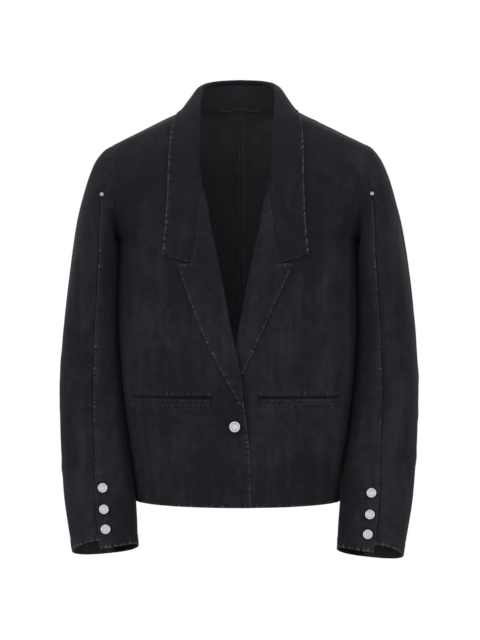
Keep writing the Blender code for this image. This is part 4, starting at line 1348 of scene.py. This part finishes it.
def buildLapels(material):
    made = {}
    for side in (1, -1):
        points, cells, rows, last = lapelGrid(side)
        away = fromAxis(points) - (0, 0.02, 0)
        normals = clothStep(points, away)
        top = int(np.argmin(np.abs(rows - notchRow)))
        seams = lambda grid: (grid[-1, :top + 1], grid[last:, top], grid[last, top:])
        edge, run, _ = nearLines(points, [(line, 1) for line in seams(points)])
        fold = runs(points, 0)
        lift = leafLook["edgePucker"] * wobble(run, 0.0065, 110 + side) * bell(edge - 0.005, 0.0055)
        x, z = points[..., 0], points[..., 2]
        lift += leafLook["drape"]["lapel"] * drape(x, z, 0.030, 0.070, 112 + side) * ease(edge / 0.012)
        lift += creases(x, z, leafLook["lapelFolds"][sideName[side]])
        lift *= ease((fold - 0.008) / 0.010) * ease((edge + 0.0012) / 0.003)
        points = points + normals * np.maximum(lift, leafLook["deepest"]["lapel"])[..., None]
        normals = clothStep(points, away)
        wear = leafLook["wear"]
        powers = wear["lapel"], wear["lapel"], wear["gorge"]
        lines = [*zip(seams(points), powers), (points[8], wear["roll"])]
        piece = shell(f"lapel_leaf_{sideName[side]}", points, normals, cut["leafWall"], material, side,
                      rims={"end": leafLook["lapelRim"]}, cells=cells, lines=lines,
                      fade=lift * leafLook["reliefWearAndShade"] + leafLook["lapelShade"])
        flat, area = leafLook["flat"]["lapel"], leafLook["area"]["lapel"]
        declare(piece, f"lapel_{sideName[side]}", flat, area)
        made[side] = points, normals, top
    print("lapels made")
    return made


weltLook = {
    "open": 0.0066,          # how far under the mouth its fold lies
    "wall": 0.0016,
    "step": 0.0014,
    "pucker": 0.0004,
    "round": 0.0004,         # how far it rounds out between its long edges
    "groove": 0.0004,        # along its long edges
    "sunk": 0.0011,          # how far its ends and foot are pressed down
    "wear": {"top": 0.22, "foot": 0.40},
    "rims": {"end": 0.0004, "start": 0.0003},
    "flat": (0.118, 0.032),
    "area": 0.0014,          # of the strip modelled: the rest of its cut is folded in
}


def buildWelts(material):
    for side in (1, -1):
        across = spread(welt["inner"], welt["outer"], weltLook["step"])
        up = spread(welt["top"] - welt["height"], welt["top"] - weltLook["open"], weltLook["step"])
        x, z = np.meshgrid(across, up, indexing="ij")
        z = z + 0.0005 * wobble(x, 0.021, 90 + side)
        row = frontRowAt(x, z)
        points = frontFace(x, row, side < 0)
        normals = facing(points)
        far = np.minimum(z - z[:, :1], z[:, -1:] - z)
        lift = weltLook["pucker"] * wobble(x, 0.0052, 92 + side) * bell(far - 0.003, 0.003)
        lift += weltLook["round"] * np.sin(np.pi * np.clip((z - z[:, :1]) / welt["height"], 0, 1))
        lift -= weltLook["groove"] * bell(far - 0.0022, 0.0007)
        ends = np.minimum(x - welt["inner"], welt["outer"] - x)
        sunk = weltLook["sunk"] * (1 - 0.7 * ease(ends / 0.010) * ease((z - z[:, :1]) / 0.006))
        points = points + normals * (weltLook["wall"] + cut["seamGap"] + 0.0002 - sunk + lift)[..., None]
        wear = weltLook["wear"]
        piece = shell(f"welt_{sideName[side]}", points, facing(points), weltLook["wall"],
                      material, side, rims=weltLook["rims"],
                      lines=[(points[:, -3], wear["top"]), (points[:, 0], wear["foot"])])
        declare(piece, f"pocket_welt_{sideName[side]}", weltLook["flat"], weltLook["area"])
    print("welts made")


metalLook = {
    "colour": (0.50, 0.49, 0.51),
    "dark": (0.20, 0.19, 0.20),          # in the hollows
    "roughness": 0.34,
    "dull": {"colour": (0.27, 0.265, 0.28), "roughness": 0.45},   # the rivets
    "lift": 0.0006,
    "foot": {"button": 0.0024, "rivet": 0.0012},   # how far the shank goes on into the cloth
    "turns": 96,
}
# Radius and height of each ring, face upwards: a button's as shares of its radius, a rivet's in metres.
# The middle is left plain: its engraving is not copied.
buttonRings = np.array((
    (0.0, 0.0), (0.33, 0.0), (0.33, 0.18), (0.68, 0.21), (0.89, 0.22), (0.98, 0.27),
    (1.0, 0.34), (0.98, 0.41), (0.92, 0.47), (0.86, 0.49), (0.80, 0.48), (0.75, 0.44),
    (0.72, 0.41), (0.67, 0.41), (0.635, 0.435), (0.59, 0.45), (0.54, 0.435), (0.49, 0.42),
    (0.31, 0.445), (0.0, 0.455),
))
rivetRings = (
    (0.0, 0.0), (0.0026, 0.0), (0.0030, 0.0003), (0.0031, 0.0007), (0.0029, 0.0011), (0.0025, 0.0014),
    (0.0020, 0.0016), (0.0017, 0.0015), (0.0014, 0.0016), (0.0008, 0.0018), (0.0, 0.0018),
)


def brushedMetal(name, look):
    material, net, shader = newMaterial(name)
    place = attribute(net, "radius")
    turn = attribute(net, "turn")
    spots = net.node("ShaderNodeCombineXYZ", {0: place * 4000.0, 1: turn * 0.6})
    rings = net.node("ShaderNodeTexNoise", {"Vector": spots, "Scale": 1.0, "Detail": 3.0, "Roughness": 0.6})
    where = net.node("ShaderNodeTexCoord", out=3)
    tarnish = noise(net, where, 420, 3, 0.6)
    hollow = attribute(net, "hollow")
    shade = rings.between(0.30, 0.75) * 0.35 + tarnish.between(0.5, 0.75) * 0.25
    shade = blend(net, shade, look["colour"], dimmed(look["colour"], 0.72))
    shade = blend(net, hollow * 0.8, shade, look["dark"])
    rough = rings.between(0.3, 0.7, look["roughness"] - 0.05, look["roughness"] + 0.14) + hollow * 0.15
    bump = net.node("ShaderNodeBump", {"Strength": 0.25, "Distance": 0.0001, "Height": rings})
    feed(net, shader, Base_Color=shade, Roughness=rough, Metallic=1.0, Normal=bump)
    return material


def turnedPiece(name, rings, spot, normal, material, side, foot):
    turns = metalLook["turns"]
    rings = np.array(rings)
    rings = np.stack([finer(rings[:, k], 2) for k in (0, 1)], -1)[1:-1]
    rings[rings[:, 1] < rings[:, 1].min() + 1e-6, 1] -= foot  # the shank ends inside the cloth
    angle = np.arange(turns) * math.tau / turns
    ring = np.stack([np.cos(angle), np.sin(angle)], -1)
    local = np.concatenate([stack(r * ring[:, 0], r * ring[:, 1], h + 0 * angle) for r, h in rings])
    frame = np.array(Vector(normal * (side, 1, 1)).to_track_quat("Z", "Y").to_matrix())
    points = local @ frame.T + (spot - nape) * (side, 1, 1)
    index = np.arange(len(rings) * turns).reshape(len(rings), turns)
    after = np.roll(index, -1, axis=1)
    faces = np.stack([index[:-1], after[:-1], after[1:], index[1:]], -1).reshape(-1, 4)
    mesh = bpy.data.meshes.new(name)
    mesh.from_pydata(points.tolist(), [], faces.tolist() + [index[0, ::-1].tolist(), index[-1].tolist()])
    radius = np.linalg.norm(local[:, :2], axis=1)
    top = rings[np.argmax(rings[:, 1])]
    hollow = np.clip((top[1] - local[:, 2]) / 0.0009, 0, 1) * (radius < top[0])
    surfaced(mesh, material, {"radius": radius, "turn": np.tile(angle, len(rings)), "hollow": hollow})
    return linked(name, mesh)


def buildMetal():
    metals = {"button": brushedMetal("brushed_nickel_face", metalLook),
              "rivet": brushedMetal("dull_nickel_face", {**metalLook, **metalLook["dull"]})}
    forward = np.array([0.0, -1.0, 0.0])
    places = [("button_front", buttonRings * frontButtonRadius, frontButtonSpot(True)[0], forward, -1)]
    for side in (1, -1):
        for number, (spot, normal) in enumerate(cuffSpots(side), 1):
            label = f"cuff_button_{sideName[side]}_{number}"
            places.append((label, buttonRings * cuffButtonRadius, spot, normal, side))
        places.append((f"rivet_{sideName[side]}", rivetRings, *onSleeve(cuffRivetRow, 0.0, side), side))
    for node, rings, spot, normal, side in places:
        kind = "rivet" if node.startswith("rivet") else "button"
        piece = turnedPiece(f"nickel_{node}", rings, spot + normal * metalLook["lift"], normal,
                            metals[kind], side, metalLook["foot"][kind])
        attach(piece, "root")
        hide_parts(node)
    print("buttons and rivets made")


stitchLook = {
    "pitch": 0.0042,      # from one stitch to the next
    "length": 0.0031,
    "thick": 0.00052,
    "uneven": 0.16,       # how much the stitches differ in length
    "seed": 7,
    "hem": 0.0132,        # from the hem's fold
    "collar": 0.0062,     # from the edge of a collar or lapel
    "seamSide": 0.0030,   # from the seam down the middle of the back, inside
    "neckHalf": 0.030,
    "neckRow": 0.0040,    # from the lower edge of the tape inside the neck
    "tonal": (0.0150, 0.0150, 0.0185),
    "light": (0.240, 0.240, 0.248),
    "roughness": 0.75,
}


def threadMaterial(name, colour):
    material, net, shader = newMaterial(name)
    place = net.node("ShaderNodeTexCoord", out=3)
    fluff = noise(net, place, 700, 2, 0.6)
    twist = noise(net, place, 2600, 1, 0.5, (1, 1, 0.4))
    shade = blend(net, fluff.between(0.35, 0.65), colour, dimmed(colour, 0.62))
    bump = net.node("ShaderNodeBump", {"Strength": 0.5, "Distance": 0.0002, "Height": twist})
    rough = fluff * 0.1 + (stitchLook["roughness"] - 0.05)
    feed(net, shader, Base_Color=shade, Roughness=rough, Normal=bump)
    feed(net, shader, Specular_IOR_Level=0.15)
    return material


def stitchTree():
    # Lays stitches along every line of the mesh it is given, evenly spaced and a little uneven in length.
    tree = bpy.data.node_groups.new("stitch_rows", "GeometryNodeTree")
    face = tree.interface
    face.new_socket("Geometry", in_out="OUTPUT", socket_type="NodeSocketGeometry")
    face.new_socket("Lines", in_out="INPUT", socket_type="NodeSocketGeometry")
    sizes = ("Pitch", "Length", "Thickness", "Unevenness")
    for name in sizes:
        face.new_socket(name, in_out="INPUT", socket_type="NodeSocketFloat")
    face.new_socket("Thread", in_out="INPUT", socket_type="NodeSocketMaterial")

    net = Net(tree, None)
    given = net.node("NodeGroupInput")
    pitch, length, thick, uneven = (given.output(name) for name in sizes)
    curve = net.node("GeometryNodeMeshToCurve", {"Mesh": given.output("Lines")})
    places = net.node("GeometryNodeCurveToPoints", {"Curve": curve, "Length": pitch}, mode="LENGTH")
    along = net.node("FunctionNodeAlignRotationToVector", {"Vector": places.output("Tangent")}, axis="Z")
    core = net.node("GeometryNodeMeshUVSphere", {"Segments": 6, "Rings": 4, "Radius": 0.5})
    least = net.math("SUBTRACT", 1.0, uneven)
    share = net.node("FunctionNodeRandomValue", {2: least, 3: 1.0, "Seed": stitchLook["seed"]}, 1,
                     data_type="FLOAT")
    size = net.node("ShaderNodeCombineXYZ", {0: thick, 1: thick, 2: share * length})
    laid = net.node("GeometryNodeInstanceOnPoints", {"Points": places, "Instance": core, "Rotation": along,
                                                    "Scale": size})
    smooth = net.node("GeometryNodeSetShadeSmooth", {0: net.node("GeometryNodeRealizeInstances", {0: laid})})
    thread = net.node("GeometryNodeSetMaterial", {"Geometry": smooth, "Material": given.output("Thread")})
    tree.links.new(thread.socket, tree.nodes.new("NodeGroupOutput").inputs[0])
    return tree


def inset(points, normals, distance, lift):  # a line this far in from a grid's first row, off the cloth
    raised = points + normals * lift
    along = runs(points, 0)
    return np.stack([[np.interp(distance, along[:, column], raised[:, column, axis]) for axis in range(3)]
                     for column in range(points.shape[1])])


def stitchRows(name, tree, lines, material):  # every line is in the model's own frame
    points = np.concatenate(lines)
    starts = np.cumsum([0] + [len(line) for line in lines[:-1]])
    edges = np.concatenate([start + np.stack([np.arange(len(line) - 1), np.arange(1, len(line))], 1)
                            for start, line in zip(starts, lines)])
    mesh = bpy.data.meshes.new(name + "_lines")
    mesh.from_pydata(points.tolist(), edges.tolist(), [])
    holder = linked(name + "_lines", mesh)
    modifier = holder.modifiers.new("stitches", "NODES")
    modifier.node_group = tree
    values = {"Pitch": stitchLook["pitch"], "Length": stitchLook["length"], "Thickness": stitchLook["thick"],
              "Unevenness": stitchLook["uneven"], "Thread": material}
    for item in tree.interface.items_tree:
        if item.item_type == "SOCKET" and item.in_out == "INPUT" and item.name in values:
            modifier[item.identifier] = values[item.name]
    bpy.context.view_layer.update()
    graph = bpy.context.evaluated_depsgraph_get()
    made = bpy.data.meshes.new_from_object(holder.evaluated_get(graph), depsgraph=graph)
    bpy.data.objects.remove(holder)
    made.name = name
    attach(linked(name, made), "root")
    return len(made.polygons)


def buildStitches(surfaces, collar, lapels):
    look = stitchLook
    up, tree = look["thick"] * 0.30, stitchTree()
    placed = lambda line, side: (line - nape) * (side, 1, 1)
    row = lambda grid, normals, far, side, lift=up: placed(inset(grid, normals, far, lift), side)
    tonal, light = [], []
    for side in (1, -1):
        for part in ("front", "back"):
            face = surfaces[part, side]
            tonal.append(row(face, facing(face), look["hem"], side)[2:-2])
        back = surfaces["back", side].swapaxes(0, 1)
        seam = row(back, -facing(back), look["seamSide"], side, cut["wall"] + up)
        light.append(seam[(seam[:, 2] < -0.021) & (seam[:, 2] > -0.60)])
        points, normals, top = lapels[side]
        tonal.append(row(points[::-1], normals[::-1], look["collar"], side)[2:top - 1])
        for z in pocketSeams():
            x = np.linspace(welt["inner"], welt["outer"], 60)
            face = frontFace(x, frontRowAt(x, np.full(60, z)), side < 0)
            tonal.append(placed(face + unit(fromAxis(face)) * look["thick"] * 1.2, side))
    leaf = collar.swapaxes(0, 1)[::-1]
    normals = facing(collar).swapaxes(0, 1)[::-1]
    tonal.append(row(leaf, normals, look["collar"], 1)[2:-2])
    stand = standGrid(np.linspace(0, 1.2, 24), 9).swapaxes(0, 1)
    neck = row(stand, -facing(stand), look["neckRow"], 1, cut["wall"] + up)
    light.append(neck[np.abs(neck[:, 0]) < look["neckHalf"]])
    count = stitchRows("edge_stitching", tree, tonal, threadMaterial("tonal_thread", look["tonal"]))
    count += stitchRows("inner_stitching", tree, light, threadMaterial("light_thread", look["light"]))
    print("stitches made,", count, "faces")


stage = {
    "floor": -1.02,          # well below the cuffs
    "azimuth": 2.3,          # the garment is turned a little away from the camera
    "distance": 3.3,
    "height": -0.343,
    "middleY": -0.0655,
    "aimX": 0.0023,
    "lens": 120,
    "floorColour": (0.80, 0.80, 0.80),
    "floorHalf": 6,
    "world": 0.42,
    "lampAim": (0, -0.08, -0.35),
    "lamps": (               # place, size and power
        ("key_left", (-2.3, -2.4, 0.9), (1.6, 2.2), 34),
        ("key_right", (2.4, -2.3, 0.8), (1.6, 2.2), 34),
        ("top_soft", (0, -0.6, 2.4), (2.5, 1.6), 26),
        ("low_fill", (0, -3.0, -0.7), (2.4, 0.8), 16),
        ("back_soft", (0, 2.6, 0.9), (2.5, 1.8), 24),
    ),
}


def buildStage():
    material, net, shader = newMaterial("pale_floor")
    feed(net, shader, Base_Color=(*stage["floorColour"], 1), Roughness=0.9)
    seen = seenStraight(net)
    white = net.node("ShaderNodeEmission", {"Color": (1, 1, 1, 1), "Strength": 1.0})
    mixed = net.node("ShaderNodeMixShader", {0: seen, 1: Net(net.tree, shader.outputs[0]), 2: white})
    net.tree.links.new(mixed.socket, net.tree.nodes["Material Output"].inputs[0])
    far = stage["floorHalf"]
    points = [(x, y, stage["floor"]) for x, y in ((-far, -far), (far, -far), (far, far), (-far, far))]
    floor = meshPiece("floor", points, [(0, 1, 2, 3)], material)


def buildLights():
    for name, place, size, power in stage["lamps"]:
        light = bpy.data.lights.new(name, "AREA")
        light.shape, light.size, light.size_y, light.energy = "RECTANGLE", *size, power
        thing = linked(name, light)
        thing.location = place
        thing.rotation_euler = (Vector(stage["lampAim"]) - Vector(place)).to_track_quat("-Z", "Y").to_euler()
    world = bpy.data.worlds.new("studio")
    scene.world = world
    world.use_nodes = True
    tree = world.node_tree
    background = tree.nodes["Background"]
    background.inputs[0].default_value = (1, 1, 1, 1)
    seen = seenStraight(Net(tree, background.outputs[0]))
    tree.links.new((seen * (1 - stage["world"]) + stage["world"]).socket, background.inputs[1])


def buildCamera():
    turn = math.radians(stage["azimuth"])
    data = bpy.data.cameras.new("camera")
    data.lens, data.sensor_height, data.sensor_fit = stage["lens"], 36, "VERTICAL"
    thing = linked("camera", data)
    away = Vector((math.sin(turn), -math.cos(turn), 0))
    across = Vector((math.cos(turn), math.sin(turn), 0))
    middle = Vector((0, stage["middleY"], stage["height"])) + across * stage["aimX"]
    thing.location = middle + away * stage["distance"]
    thing.rotation_euler = (-away).to_track_quat("-Z", "Y").to_euler()
    scene.camera = thing


def build():
    buildCamera()
    buildStage()
    buildLights()
    cloth = denim("washed_black_denim")
    surfaces = buildBody(cloth)
    buildSleeves(cloth)
    collar = buildCollar(cloth, surfaces)
    lapels = buildLapels(cloth)
    buildWelts(cloth)
    buildStitches(surfaces, collar, lapels)
    buildMetal()
    scene.view_settings.view_transform = "Standard"


build()
